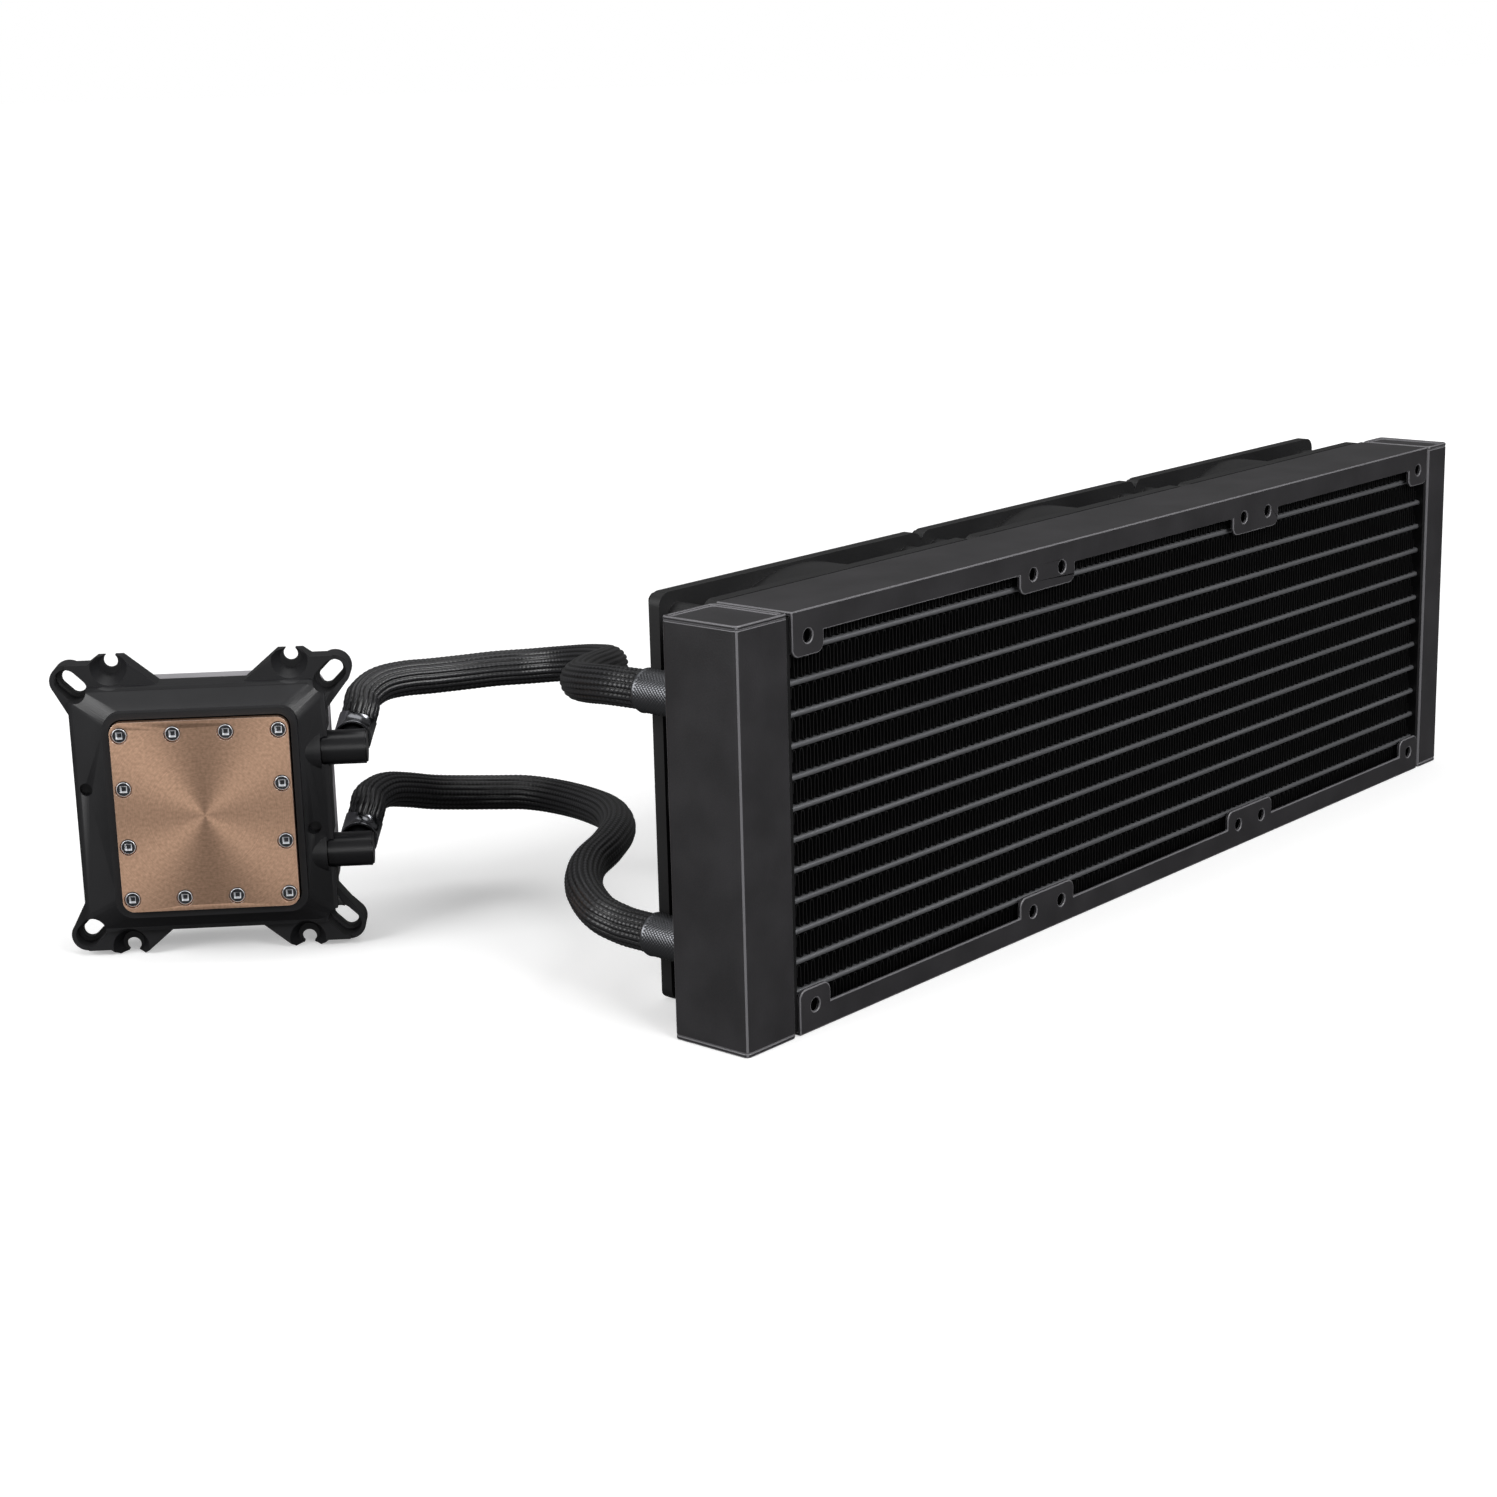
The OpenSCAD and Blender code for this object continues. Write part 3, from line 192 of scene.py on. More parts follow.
def pressed_grain(made, size, depth, mottle=0.0, shine=0.0):
    """Gives a material a fine surface: noise with features of this size in metres as a bump of this depth, a
    slower noise that mottles the colour by a share, and the same noise varying the roughness."""
    tree = made.node_tree
    shader = tree.nodes["Principled BSDF"]
    where = add_node(tree, "TexCoord").outputs["Object"]
    fine = add_node(tree, "TexNoise", {"Scale": 1 / size, "Detail": 3.0, "Roughness": 0.6}, {"Vector": where})
    bump = add_node(tree, "Bump", {"Strength": 1.0, "Distance": depth}, {"Height": fine.outputs["Fac"]})
    tree.links.new(bump.outputs["Normal"], shader.inputs["Normal"])
    slow = add_node(tree, "TexNoise", {"Scale": 60.0, "Detail": 4.0}, {"Vector": where})
    if mottle:
        base = list(shader.inputs["Base Color"].default_value)[:3]
        dark, light = [[min(1.0, c * share) for c in base] + [1.0] for share in (1 - mottle, 1 + mottle)]
        tree.links.new(two_tone(tree, slow.outputs["Fac"], dark, light, 0.35, 0.65),
                       shader.inputs["Base Color"])
    if shine:
        rough = shader.inputs["Roughness"].default_value
        spread = add_node(tree, "MapRange", {"To Min": rough - shine, "To Max": rough + shine},
                          {"Value": slow.outputs["Fac"]})
        tree.links.new(spread.outputs["Result"], shader.inputs["Roughness"])
    return made


# Polyester powder coat on aluminium: even satin black with a fine orange peel.
powder_coat = pressed_grain(new_material("satin_black_powder_coat", "#272628", {
    "Roughness": 0.4, "IOR": 1.5}), 0.0006, 0.000035, mottle=0.18, shine=0.05)
# The same coat, lighter and smoother, laid on the edges and bend middles as a painted highlight line.
edge_highlight_coat = pressed_grain(new_material("powder_coat_painted_edge_highlight", "#69686b", {
    "Roughness": 0.32, "IOR": 1.5}), 0.0006, 0.00001)


def show(piece, body, material):
    """Gives a piece its material, puts it in the scene and gives it its body."""
    piece.data.materials.clear()
    piece.data.materials.append(material)
    bpy.context.scene.collection.objects.link(piece)
    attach(piece, body)


def rounded_copy(node, name, edge, material, segments=2, sharp=32, edge_material=None,
                 bends_along=None, clamped=False):
    """A CAD node with its triangles merged, its flat faces rejoined and its sharp edges rounded by edge
    metres. The rounding, and the middle of round bends that run along one axis, may have a material of
    their own, and clamped stops such a rounding where it would run into another."""
    source = frame["nodes"][node]
    form = bmesh.new()
    form.from_mesh(source.data)
    bmesh.ops.remove_doubles(form, verts=form.verts, dist=1e-6)
    bmesh.ops.dissolve_limit(form, angle_limit=math.radians(0.8), verts=form.verts, edges=form.edges)
    mesh = bpy.data.meshes.new(name)
    form.to_mesh(mesh)
    form.free()
    mesh.shade_smooth()
    mesh.set_sharp_from_angle(angle=math.radians(sharp))
    piece = bpy.data.objects.new(name, mesh)
    bevel = piece.modifiers.new("edge", "BEVEL")
    bevel.width, bevel.segments = edge, segments
    bevel.limit_method, bevel.angle_limit = "ANGLE", math.radians(sharp)
    bevel.harden_normals = True
    show(piece, source["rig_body"], material)
    if edge_material:
        mesh.materials.append(edge_material)
        bevel.material, bevel.use_clamp_overlap = 1, clamped
    if bends_along is not None:
        normals = np.zeros(3 * len(mesh.polygons), np.float32)
        mesh.polygons.foreach_get("normal", normals)
        lean = np.abs(normals.reshape(-1, 3))
        bent = (np.delete(lean, bends_along, axis=1) > 0.5).all(axis=1) & (lean[:, bends_along] < 0.05)
        mesh.polygons.foreach_set("material_index", bent.astype(np.int32))
    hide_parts(node)


for tank in ("near_tank", "far_tank"):
    rounded_copy(tank, tank + "_box", 0.0003, powder_coat, edge_material=edge_highlight_coat, bends_along=2)
    rounded_copy(tank + "_caps", tank + "_end_caps", 0.0004, powder_coat, edge_material=edge_highlight_coat,
                 bends_along=2)

# ---- Core ----
# Flat tubes with a folded fin strip brazed between them. The tubes' rounded noses are thinly coated and
# show as light lines, and the strip is black.

# Rolled aluminium tube under a thin grey coat: a soft grey metal with faint lines along its length.
bare_tube = new_material("rolled_aluminium_tube", "#7c7d80", {"Metallic": 0.7, "Roughness": 0.36})
tree = bare_tube.node_tree
along = add_node(tree, "Mapping", {"Scale": (20, 900, 900)},
                 {"Vector": add_node(tree, "TexCoord").outputs["Object"]})
streaks = add_node(tree, "TexNoise", {"Scale": 1.0, "Detail": 3.0}, {"Vector": along.outputs["Vector"]})
tree.links.new(two_tone(tree, streaks.outputs["Fac"], linear("#5e5f62"), linear("#8c8d90")),
               tree.nodes["Principled BSDF"].inputs["Base Color"])
frame["nodes"]["coolant_tubes"].data.materials[0] = bare_tube

# Black coat on 0.2 mm aluminium strip: dull, with a slight metallic sheen on the folds.
fin_coat = pressed_grain(new_material("black_coated_fin_strip", "#0c0c0d", {
    "Metallic": 0.2, "Roughness": 0.42}), 0.0009, 0.00002, mottle=0.2)


def closed_grid(points):
    """Quads that join a grid of points [rows, columns] in both directions, with both directions closed."""
    rows, columns = points.shape[:2]
    row, column = np.meshgrid(np.arange(rows), np.arange(columns), indexing="ij")
    next_row, next_column = (row + 1) % rows, (column + 1) % columns
    corners = [row * columns + column, next_row * columns + column,
               next_row * columns + next_column, row * columns + next_column]
    return np.stack(corners, axis=-1).reshape(-1, 4)


def mesh_piece(name, points, faces, smooth_angle=35):
    """An object at the origin from points and faces; doubles are merged, and normals are made to face
    outwards."""
    mesh = bpy.data.meshes.new(name)
    mesh.from_pydata(np.asarray(points).reshape(-1, 3).tolist(), [], faces)
    form = bmesh.new()
    form.from_mesh(mesh)
    bmesh.ops.remove_doubles(form, verts=form.verts, dist=1e-7)
    bmesh.ops.recalc_face_normals(form, faces=form.faces)
    form.to_mesh(mesh)
    form.free()
    mesh.shade_smooth()
    mesh.set_sharp_from_angle(angle=math.radians(smooth_angle))
    return bpy.data.objects.new(name, mesh)


def fin_ribbon(x0, x1, low, high, front, back, pitch, thickness):
    """One folded strip: z swings between low and high as a sine pressed flat at its ends, and x stands almost
    still while z crosses the middle. The ring of four corners of the strip's section is carried along it."""
    waves = int((x1 - x0) / pitch)
    phase = np.linspace(0, 2 * np.pi * waves, 12 * waves + 1)
    wave = np.sin(phase)
    x = (x0 + x1 - waves * pitch) / 2 + pitch * (phase - 0.46 * np.sin(2 * phase)) / (2 * np.pi)
    z = (low + high) / 2 + (high - low - thickness) / 2 * np.sign(wave) * np.abs(wave) ** 0.55
    line = np.stack([x, z], axis=1)
    way = np.gradient(line, axis=0)
    way /= np.linalg.norm(way, axis=1, keepdims=True)
    across = np.stack([-way[:, 1], way[:, 0]], axis=1) * thickness / 2
    corners = [(line + across, front), (line - across, front), (line - across, back), (line + across, back)]
    return np.stack([np.stack([c[:, 0], np.full(len(c), y), c[:, 1]], axis=1) for c, y in corners], axis=1)


tube_low, tube_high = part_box("coolant_tubes")
core_low, core_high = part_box("fin_rows")
tube_count = 12
tube_thickness = 0.0018
# The strip's ends run into the header plates, and it stands back a little from the core's two faces.
fin_pitch, fin_thickness, fin_reach, fin_inset = 0.0031, 0.00026, 0.004, 0.0004
tube_pitch = (tube_high.z - tube_low.z - tube_thickness) / (tube_count - 1)
fin_points, fin_faces = [], []
for gap in range(tube_count + 1):
    low = core_low.z if gap == 0 else tube_low.z + tube_thickness + (gap - 1) * tube_pitch
    high = core_high.z if gap == tube_count else tube_low.z + gap * tube_pitch
    ribbon = fin_ribbon(core_low.x - fin_reach, core_high.x + fin_reach, low, high, core_low.y + fin_inset,
                        core_high.y - fin_inset, fin_pitch, fin_thickness)
    rows = ribbon.shape[0]
    start = sum(len(p) for p in fin_points)
    quads = closed_grid(ribbon)
    quads = quads[(quads.min(axis=1) // 4 != 0) | (quads.max(axis=1) // 4 < rows - 1)]
    ends = np.array([[3, 2, 1, 0], [4 * rows - 4, 4 * rows - 3, 4 * rows - 2, 4 * rows - 1]])
    fin_points.append(ribbon.reshape(-1, 3))
    fin_faces.append(np.concatenate([quads, ends]) + start)
fins = mesh_piece("fin_strips", np.concatenate(fin_points), np.concatenate(fin_faces).tolist())
show(fins, "cooler", fin_coat)
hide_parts("fin_rows")

rounded_copy("header_plates", "header_sheets", 0.0002, fin_coat)

# ---- Rails ----
# Sheet channels over and under the core. The flange on the open face widens to a tab at each screw. The
# coat is the tanks', with a painted highlight in a paler coat over the sheet's edges, its bends and round the
# holes.
for rail in ("top_rail", "bottom_rail"):
    rounded_copy(rail, rail + "_channel", 0.0004, powder_coat, edge_material=edge_highlight_coat, bends_along=0)

# ---- Radiator fittings ----
# Turned aluminium ferrules crimped over the hoses, with a fine diagonal knurl between two plain ends, dark
# grey.

# Dark anodised aluminium: near-black grey metal with a broad soft highlight.
dark_anodised = pressed_grain(new_material("dark_anodised_aluminium", "#5a5b5e", {
    "Metallic": 0.9, "Roughness": 0.34}), 0.0005, 0.00001, shine=0.05)


def turned(profile, around, place, axis_matrix, knurl=None):
    """A surface of revolution: each (radius, height) of the profile is carried round the axis. knurl, where
    given, takes angle and height and returns a small change of radius."""
    radius, height = np.asarray(profile, float).T
    angle = np.linspace(0, 2 * np.pi, around, endpoint=False)
    grid_r = np.repeat(radius[:, None], around, axis=1)
    grid_h = np.repeat(height[:, None], around, axis=1)
    if knurl is not None:
        grid_r = grid_r + knurl(np.broadcast_to(angle, grid_r.shape), grid_h)
    local = np.stack([grid_r * np.cos(angle), grid_r * np.sin(angle), grid_h, np.ones_like(grid_h)], axis=-1)
    matrix = np.array(Matrix.Translation(place) @ axis_matrix)
    return (local @ matrix.T)[..., :3]


def ring_quads(points):
    """Quads of a grid closed round its columns only."""
    quads = closed_grid(points)
    rows, columns = points.shape[:2]
    return quads[: (rows - 1) * columns]


along_y = Matrix.Rotation(-math.pi / 2, 4, "X")
knurl_radius, knurl_pitch, knurl_depth = 0.0064, 0.00115, 0.00016
plain_foot, plain_lip = 0.0016, 0.0014
lines = round(2 * math.pi * knurl_radius / knurl_pitch)
for side in ("upper", "lower"):
    low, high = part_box(side + "_radiator_ferrule")
    centre = (low + high) / 2
    length = high.y - low.y

    def diamond(angle, height):
        """Two crossed sets of helical ridges, absent near both ends of the ferrule."""
        turns = 2 * np.pi * height / (knurl_pitch * lines)
        ridge = np.abs(np.sin((angle + turns) * lines / 2)) + np.abs(np.sin((angle - turns) * lines / 2))
        band = (height > plain_foot) & (height < length - plain_lip)
        return np.where(band, -knurl_depth * (2 - ridge), 0)

    body = np.linspace(0.0013, length - 0.0011, 74)
    profile = ([(0.0053, 0.0), (0.0061, 0.0), (0.0064, 0.0003), (0.0064, 0.001)]
               + [(0.0063, h) for h in body]
               + [(0.0064, length - 0.0008), (0.0062, length - 0.0002), (0.0059, length), (0.0053, length)])
    points = turned(profile, 4 * lines, (centre.x, low.y, centre.z), along_y, diamond)
    ferrule = mesh_piece(side + "_knurled_ferrule", points, ring_quads(points).tolist(), 50)
    show(ferrule, "cooler", dark_anodised)
    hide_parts(side + "_radiator_ferrule")

# ---- Pump block's copper plate ----
# A machined copper plate, faced on a lathe so that fine rings cover it. Twelve small screws with square
# sockets sit in counterbores along its edges.
pump_centre = Vector(joints["pump_spin"]["pos_m"])
pump = (Matrix.Translation(pump_centre) @ Matrix.Rotation(-math.pi / 4, 4, "Z")
        @ Matrix.Rotation(math.pi / 2, 4, "X"))


def in_pump(tree):
    """Coordinates in the block's own frame: x across the plate, y up it, z out of it, in metres."""
    where = add_node(tree, "TexCoord").outputs["Object"]
    inverse = pump.inverted()
    turned_back = add_node(tree, "Mapping", {
        "Rotation": inverse.to_euler(), "Location": inverse.to_translation()}, {"Vector": where})
    return turned_back.outputs["Vector"]


# Turned copper: a warm pink-brown metal with a fine uneven grain. The lathe's rings spread each lamp into a
# pair of light fans, so that the fans of two lamps make a cross.
rings_per_metre, grain_per_metre = 4200.0, 1100.0
turned_copper = new_material("turned_copper", "#c7a283", {
    "Metallic": 1.0, "Roughness": 0.56, "Anisotropic": 0.62})
tree = turned_copper.node_tree
shader = tree.nodes["Principled BSDF"]
local = in_pump(tree)
flat = add_node(tree, "VectorMath", {"operation": "MULTIPLY", 1: (1, 1, 0)}, {0: local})
distance = add_node(tree, "VectorMath", {"operation": "LENGTH"}, {0: flat.outputs["Vector"]})
rings = add_node(tree, "TexNoise", {"noise_dimensions": "1D", "Scale": 1.0, "Detail": 4.0, "Roughness": 0.7},
                 {"W": add_node(tree, "Math", {"operation": "MULTIPLY", 1: rings_per_metre},
                                {0: distance.outputs["Value"]}).outputs["Value"]})
groove = add_node(tree, "Bump", {"Strength": 1.0, "Distance": 0.000002}, {"Height": rings.outputs["Fac"]})
tree.links.new(groove.outputs["Normal"], shader.inputs["Normal"])
grain = add_node(tree, "TexNoise", {"Scale": grain_per_metre, "Detail": 2.0}, {"Vector": local})
uneven = add_node(tree, "Math", {"operation": "MULTIPLY"}, {0: rings.outputs["Fac"], 1: grain.outputs["Fac"]})
tree.links.new(two_tone(tree, uneven.outputs["Value"], linear("#b8957c"), linear("#dfb99e"), 0.1, 0.42),
               shader.inputs["Base Color"])
facing = Vector((0, 0, 1))
facing.rotate(pump.to_quaternion())
centre_line = add_node(tree, "VectorMath", {"operation": "SUBTRACT", 1: pump_centre},
                       {0: add_node(tree, "TexCoord").outputs["Object"]})
tangent = add_node(tree, "VectorMath", {"operation": "CROSS_PRODUCT", 1: facing},
                   {0: centre_line.outputs["Vector"]})
tree.links.new(add_node(tree, "VectorMath", {"operation": "NORMALIZE"},
                        {0: tangent.outputs["Vector"]}).outputs["Vector"], shader.inputs["Tangent"])
# The broken edges of the counterbores and the plate are smoother, and painted near-white as a highlight.
copper_edge_highlight = new_material("copper_painted_edge_highlight", "#f2ddd0", {"Metallic": 0.6, "Roughness": 0.35})
rounded_copy("cold_plate", "copper_cold_plate", 0.0003, turned_copper, edge_material=copper_edge_highlight,
             clamped=True)

# Zinc-plated steel: mid grey with small scratches. Its rounded edges are painted near-white as a highlight.
zinc_steel = pressed_grain(new_material("zinc_plated_steel", "#6c6e73", {
    "Metallic": 1.0, "Roughness": 0.24}), 0.0004, 0.000008, shine=0.06)
zinc_edge_highlight = new_material("zinc_painted_edge_highlight", "#e8eaee", {"Metallic": 0.5, "Roughness": 0.3})
rounded_copy("plate_screws", "plate_screw_heads", 0.0002, zinc_steel,
             edge_material=zinc_edge_highlight)

# ---- Mounting bracket and housing ----
# Glass-filled nylon, moulded matt black. Its edges are slightly rounded by the mould, and a raised lip runs
# round the window that the copper plate shows through.

# Glass-filled nylon: matt near-black with a fine spark grain.
moulded_nylon = pressed_grain(new_material("matt_moulded_nylon", "#18181a", {
    "Roughness": 0.46, "Specular IOR Level": 0.45}), 0.0005, 0.00002, mottle=0.12, shine=0.05)
rounded_copy("mounting_bracket", "moulded_bracket", 0.0003, moulded_nylon, sharp=28)
rounded_copy("pump_housing", "moulded_housing", 0.0002, moulded_nylon)

# Smooth ABS cover, painted a pale silver grey, with an even fine grain.
silver_abs = pressed_grain(new_material("silver_painted_abs", "#b4b2b6", {
    "Metallic": 0.3, "Roughness": 0.38}), 0.0006, 0.00001, mottle=0.04)
rounded_copy("top_cover", "silver_cover", 0.0005, silver_abs, segments=3)

# Polished black acrylic disc on the cover's back: deep gloss.
black_acrylic = new_material("black_acrylic", "#0a0a0c", {"Roughness": 0.08, "IOR": 1.49, "Coat Weight": 0.4})
pressed_grain(black_acrylic, 0.004, 0.000004)
rounded_copy("cover_face", "acrylic_face", 0.0003, black_acrylic, segments=3)

# ---- Swivel elbows and their ferrules ----
# Each hose port is a moulded stub that turns in the housing and bends down and round into a crimped sleeve of
# polished dark metal, plain and smooth, with its two ends broken.

# Polyacetal: smooth black with a soft gloss.
smooth_acetal = pressed_grain(new_material("smooth_acetal", "#141416", {"Roughness": 0.3}), 0.001, 0.00001)
# Polished and black-plated brass: dark mirror that shows the lamps as hard bright bands.
black_chrome = pressed_grain(new_material("black_chrome_plate", "#7a7b7f", {
    "Metallic": 1.0, "Roughness": 0.2}), 0.002, 0.000004, shine=0.03)

sleeve_bend, sleeve_lean = math.radians(60), math.radians(20)
sleeve_bend_radius, sleeve_straight, sleeve_base = 0.0095, 0.0007, -0.0027
sleeve_radius, sleeve_bore = 0.0059, 0.00515
port_across, port_lift = 0.0437, 0.0006


def hose_port(port_height):
    """A port's outlet start, its lean direction, its mouth and the mouth's direction, in the block's own
    frame: the outlet runs down -z and bends by sleeve_bend towards the lean direction."""
    start = np.array([port_across, port_height + port_lift, sleeve_base - sleeve_straight])
    lean = np.array([math.sin(sleeve_lean), math.cos(sleeve_lean), 0])
    down = np.array([0, 0, -1.0])
    mouth = start + sleeve_bend_radius * ((1 - math.cos(sleeve_bend)) * lean + math.sin(sleeve_bend) * down)
    return start, lean, mouth, math.sin(sleeve_bend) * lean + math.cos(sleeve_bend) * down


def bent_sleeve(port_height, profile, around=72):
    """A tube bent through sleeve_bend: the profile gives (share of the bend, extra length past it, radius),
    and each ring stands square to the bend's circle at that share."""
    start, lean = hose_port(port_height)[:2]
    down = np.array([0, 0, -1.0])
    side = np.cross(lean, down)
    share, beyond, radius = np.asarray(profile, float).T
    turn = share * sleeve_bend
    middle = start + sleeve_bend_radius * (np.outer(1 - np.cos(turn), lean) + np.outer(np.sin(turn), down))
    forward = np.outer(np.sin(turn), lean) + np.outer(np.cos(turn), down)
    middle = middle + beyond[:, None] * forward
    inward = np.outer(np.cos(turn), lean) - np.outer(np.sin(turn), down)
    angle = np.linspace(0, 2 * np.pi, around, endpoint=False)
    ring = (np.cos(angle)[None, :, None] * inward[:, None, :] + np.sin(angle)[None, :, None] * side)
    local = middle[:, None, :] + radius[:, None, None] * ring
    matrix = np.array(pump)
    return local @ matrix[:3, :3].T + matrix[:3, 3]


port_height = {"upper": 0.0162, "lower": -0.0162}
# How far the sleeve reaches back over the elbow before it bends.
foot = 0.0009
bend_shares = np.linspace(0, 1, 22)
sleeve_profile = ([(0, -foot, sleeve_bore), (0, -foot, sleeve_radius - 0.0002),
                   (0, -foot + 0.0003, sleeve_radius), (0, 0.0, sleeve_radius)]
                  + [(s, 0, sleeve_radius) for s in bend_shares[1:-2]]
                  + [(0.975, 0, sleeve_radius), (1, 0, sleeve_radius - 0.0002), (1, 0, sleeve_bore)]
                  + [(s, 0, sleeve_bore) for s in bend_shares[-2::-1]])
for side, height in port_height.items():
    points = bent_sleeve(height, sleeve_profile)
    sleeve = mesh_piece(side + "_pump_sleeve", points, closed_grid(points).tolist(), 40)
    show(sleeve, side + "_fitting", black_chrome)
    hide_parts(side + "_pump_ferrule")
    rounded_copy(side + "_elbow", side + "_swivel_elbow", 0.0003, smooth_acetal, segments=3)

# ---- Hoses ----
# Rubber hose in a tight black braid. The braid's strands lie in ribs along the hose, and short strands
# cross them like teeth. Each hose leaves the pump upwards, loops out beside the fans and comes back to the
# tank.

rib_count, rib_height = 20, 0.0004
tooth_height, tooth_pitch = 0.00012, 0.0016
# How far a stitch's point reaches from the groove towards the rib's crest, which is at 0.5.
stitch_reach = 0.304

# Woven nylon monofilament: near-black, with lighter zigzags along both flanks of each rib that are a painted
# highlight, the glint of the crossing strands, the same all round the hose; and with a fine grain of threads.
woven_nylon = new_material("woven_nylon_sleeve", "#0a0a0b", {
    "Roughness": 0.3, "Specular IOR Level": 0.5})
tree = woven_nylon.node_tree
strands = add_node(tree, "UVMap", {"uv_map": "braid"})
fibre = add_node(tree, "Mapping", {"Scale": (220.0, 12000.0, 1.0)}, {"Vector": strands.outputs["UV"]})
threads = add_node(tree, "TexNoise", {"Scale": 1.0, "Detail": 2.0}, {"Vector": fibre.outputs["Vector"]})
parts = add_node(tree, "SeparateXYZ", {}, {"Vector": strands.outputs["UV"]})
rib_place = add_node(tree, "Math", {"operation": "MULTIPLY", 1: rib_count}, {0: parts.outputs["Y"]})
across_rib = add_node(tree, "Math", {"operation": "PINGPONG", 1: 0.5}, {0: rib_place.outputs["Value"]})
stitch = add_node(tree, "Math", {"operation": "PINGPONG", 1: tooth_pitch / 2}, {0: parts.outputs["X"]})
zigzag = add_node(tree, "Math", {"operation": "MULTIPLY_ADD", 1: -stitch_reach / (tooth_pitch / 2)},
                  {0: stitch.outputs["Value"], 2: across_rib.outputs["Value"]})
tree.links.new(two_tone(tree, zigzag.outputs["Value"], linear("#060607"), linear("#262628"), 0.02, 0.12),
               tree.nodes["Principled BSDF"].inputs["Base Color"])
thread_bump = add_node(tree, "Bump", {"Strength": 1.0, "Distance": 0.00002},
                       {"Height": threads.outputs["Fac"]})
tree.links.new(thread_bump.outputs["Normal"], tree.nodes["Principled BSDF"].inputs["Normal"])

hose_radius = 0.0055
hose_routes = {
    "upper": [(-0.1465, 0.0575, 0.0735), (-0.1395, 0.058, 0.076), (-0.131, 0.0565, 0.0765),
              (-0.1215, 0.0535, 0.076), (-0.1125, 0.049, 0.076), (-0.104, 0.0425, 0.0765),
              (-0.097, 0.0345, 0.077), (-0.093, 0.0235, 0.0785), (-0.094, 0.0095, 0.081),
              (-0.102, -0.006, 0.084), (-0.1155, -0.0175, 0.087), (-0.1315, -0.026, 0.089),
              (-0.146, -0.0365, 0.091), (-0.155, -0.049, 0.0935), (-0.158, -0.061, 0.095)],
    "lower": [(-0.146, 0.058, 0.0405), (-0.1375, 0.0605, 0.041), (-0.127, 0.062, 0.0385),
              (-0.1165, 0.0615, 0.0355), (-0.106, 0.0585, 0.0335), (-0.097, 0.0525, 0.0325),
              (-0.091, 0.0435, 0.0325), (-0.089, 0.03, 0.0325), (-0.093, 0.013, 0.0335),
              (-0.1015, -0.004, 0.035), (-0.1135, -0.018, 0.0355), (-0.1275, -0.027, 0.035),
              (-0.142, -0.033, 0.0335), (-0.152, -0.041, 0.0305), (-0.1575, -0.052, 0.027),
              (-0.158, -0.062, 0.025)]}
# Each hose runs this far straight out of its two fittings, and is drawn in steps of this length.
hose_lead, route_step = 0.003, 0.00036


def smooth_route(points, step):
    """Catmull-Rom through the points, resampled to equal steps: between p1 and p2 the curve is the cubic
    whose end slopes are (p2-p0)/2 and (p3-p1)/2."""
    points = np.asarray(points, float)
    padded = np.concatenate([[2 * points[0] - points[1]], points, [2 * points[-1] - points[-2]]])
    p0, p1, p2, p3 = padded[:-3, None], padded[1:-2, None], padded[2:-1, None], padded[3:, None]
    t = np.linspace(0, 1, 24, endpoint=False)[None, :, None]
    curve = 0.5 * (2 * p1 + (p2 - p0) * t + (2 * p0 - 5 * p1 + 4 * p2 - p3) * t ** 2
                   + (3 * p1 - p0 - 3 * p2 + p3) * t ** 3)
    curve = np.concatenate([curve.reshape(-1, 3), points[-1:]])
    run = np.concatenate([[0], np.cumsum(np.linalg.norm(np.diff(curve, axis=0), axis=1))])
    even = np.linspace(0, run[-1], int(run[-1] / step) + 1)
    return np.stack([np.interp(even, run, curve[:, axis]) for axis in range(3)], axis=1), run[-1]


def braided_tube(route, length, around=120):
    """The route's sections are circles whose radius carries the braid: rounded ribs round the hose,
    |sin(ribs*angle/2)|, and teeth along it, a sine that swaps phase from one rib to the next. Sections are
    turned back by the turn that their own axes make along the route, so that the ribs don't wind round the
    hose."""
    way = np.gradient(route, axis=0)
    way /= np.linalg.norm(way, axis=1, keepdims=True)
    across = np.cross(way, [0, 0, 1])
    across /= np.linalg.norm(across, axis=1, keepdims=True)
    up = np.cross(across, way)
    untwist = -np.cumsum((np.gradient(across, axis=0) * up).sum(axis=1))[:, None]
    angle = np.linspace(0, 2 * np.pi, around, endpoint=False)[None, :]
    travel = np.linspace(0, length, len(route))[:, None]
    rib = np.abs(np.sin(rib_count * angle / 2))
    swap = np.floor(rib_count * angle / (2 * np.pi)) % 2 * np.pi
    tooth = 0.5 + 0.5 * np.sin(2 * np.pi * travel / tooth_pitch + swap)
    base = hose_radius - rib_height / 2 - tooth_height
    radius = base + rib_height * np.sqrt(rib) + tooth_height * tooth * rib
    points = (route[:, None, :] + (radius * np.cos(angle + untwist))[..., None] * across[:, None, :]
              + (radius * np.sin(angle + untwist))[..., None] * up[:, None, :])
    return points, np.broadcast_to(angle / (2 * np.pi), radius.shape), np.broadcast_to(travel, radius.shape)


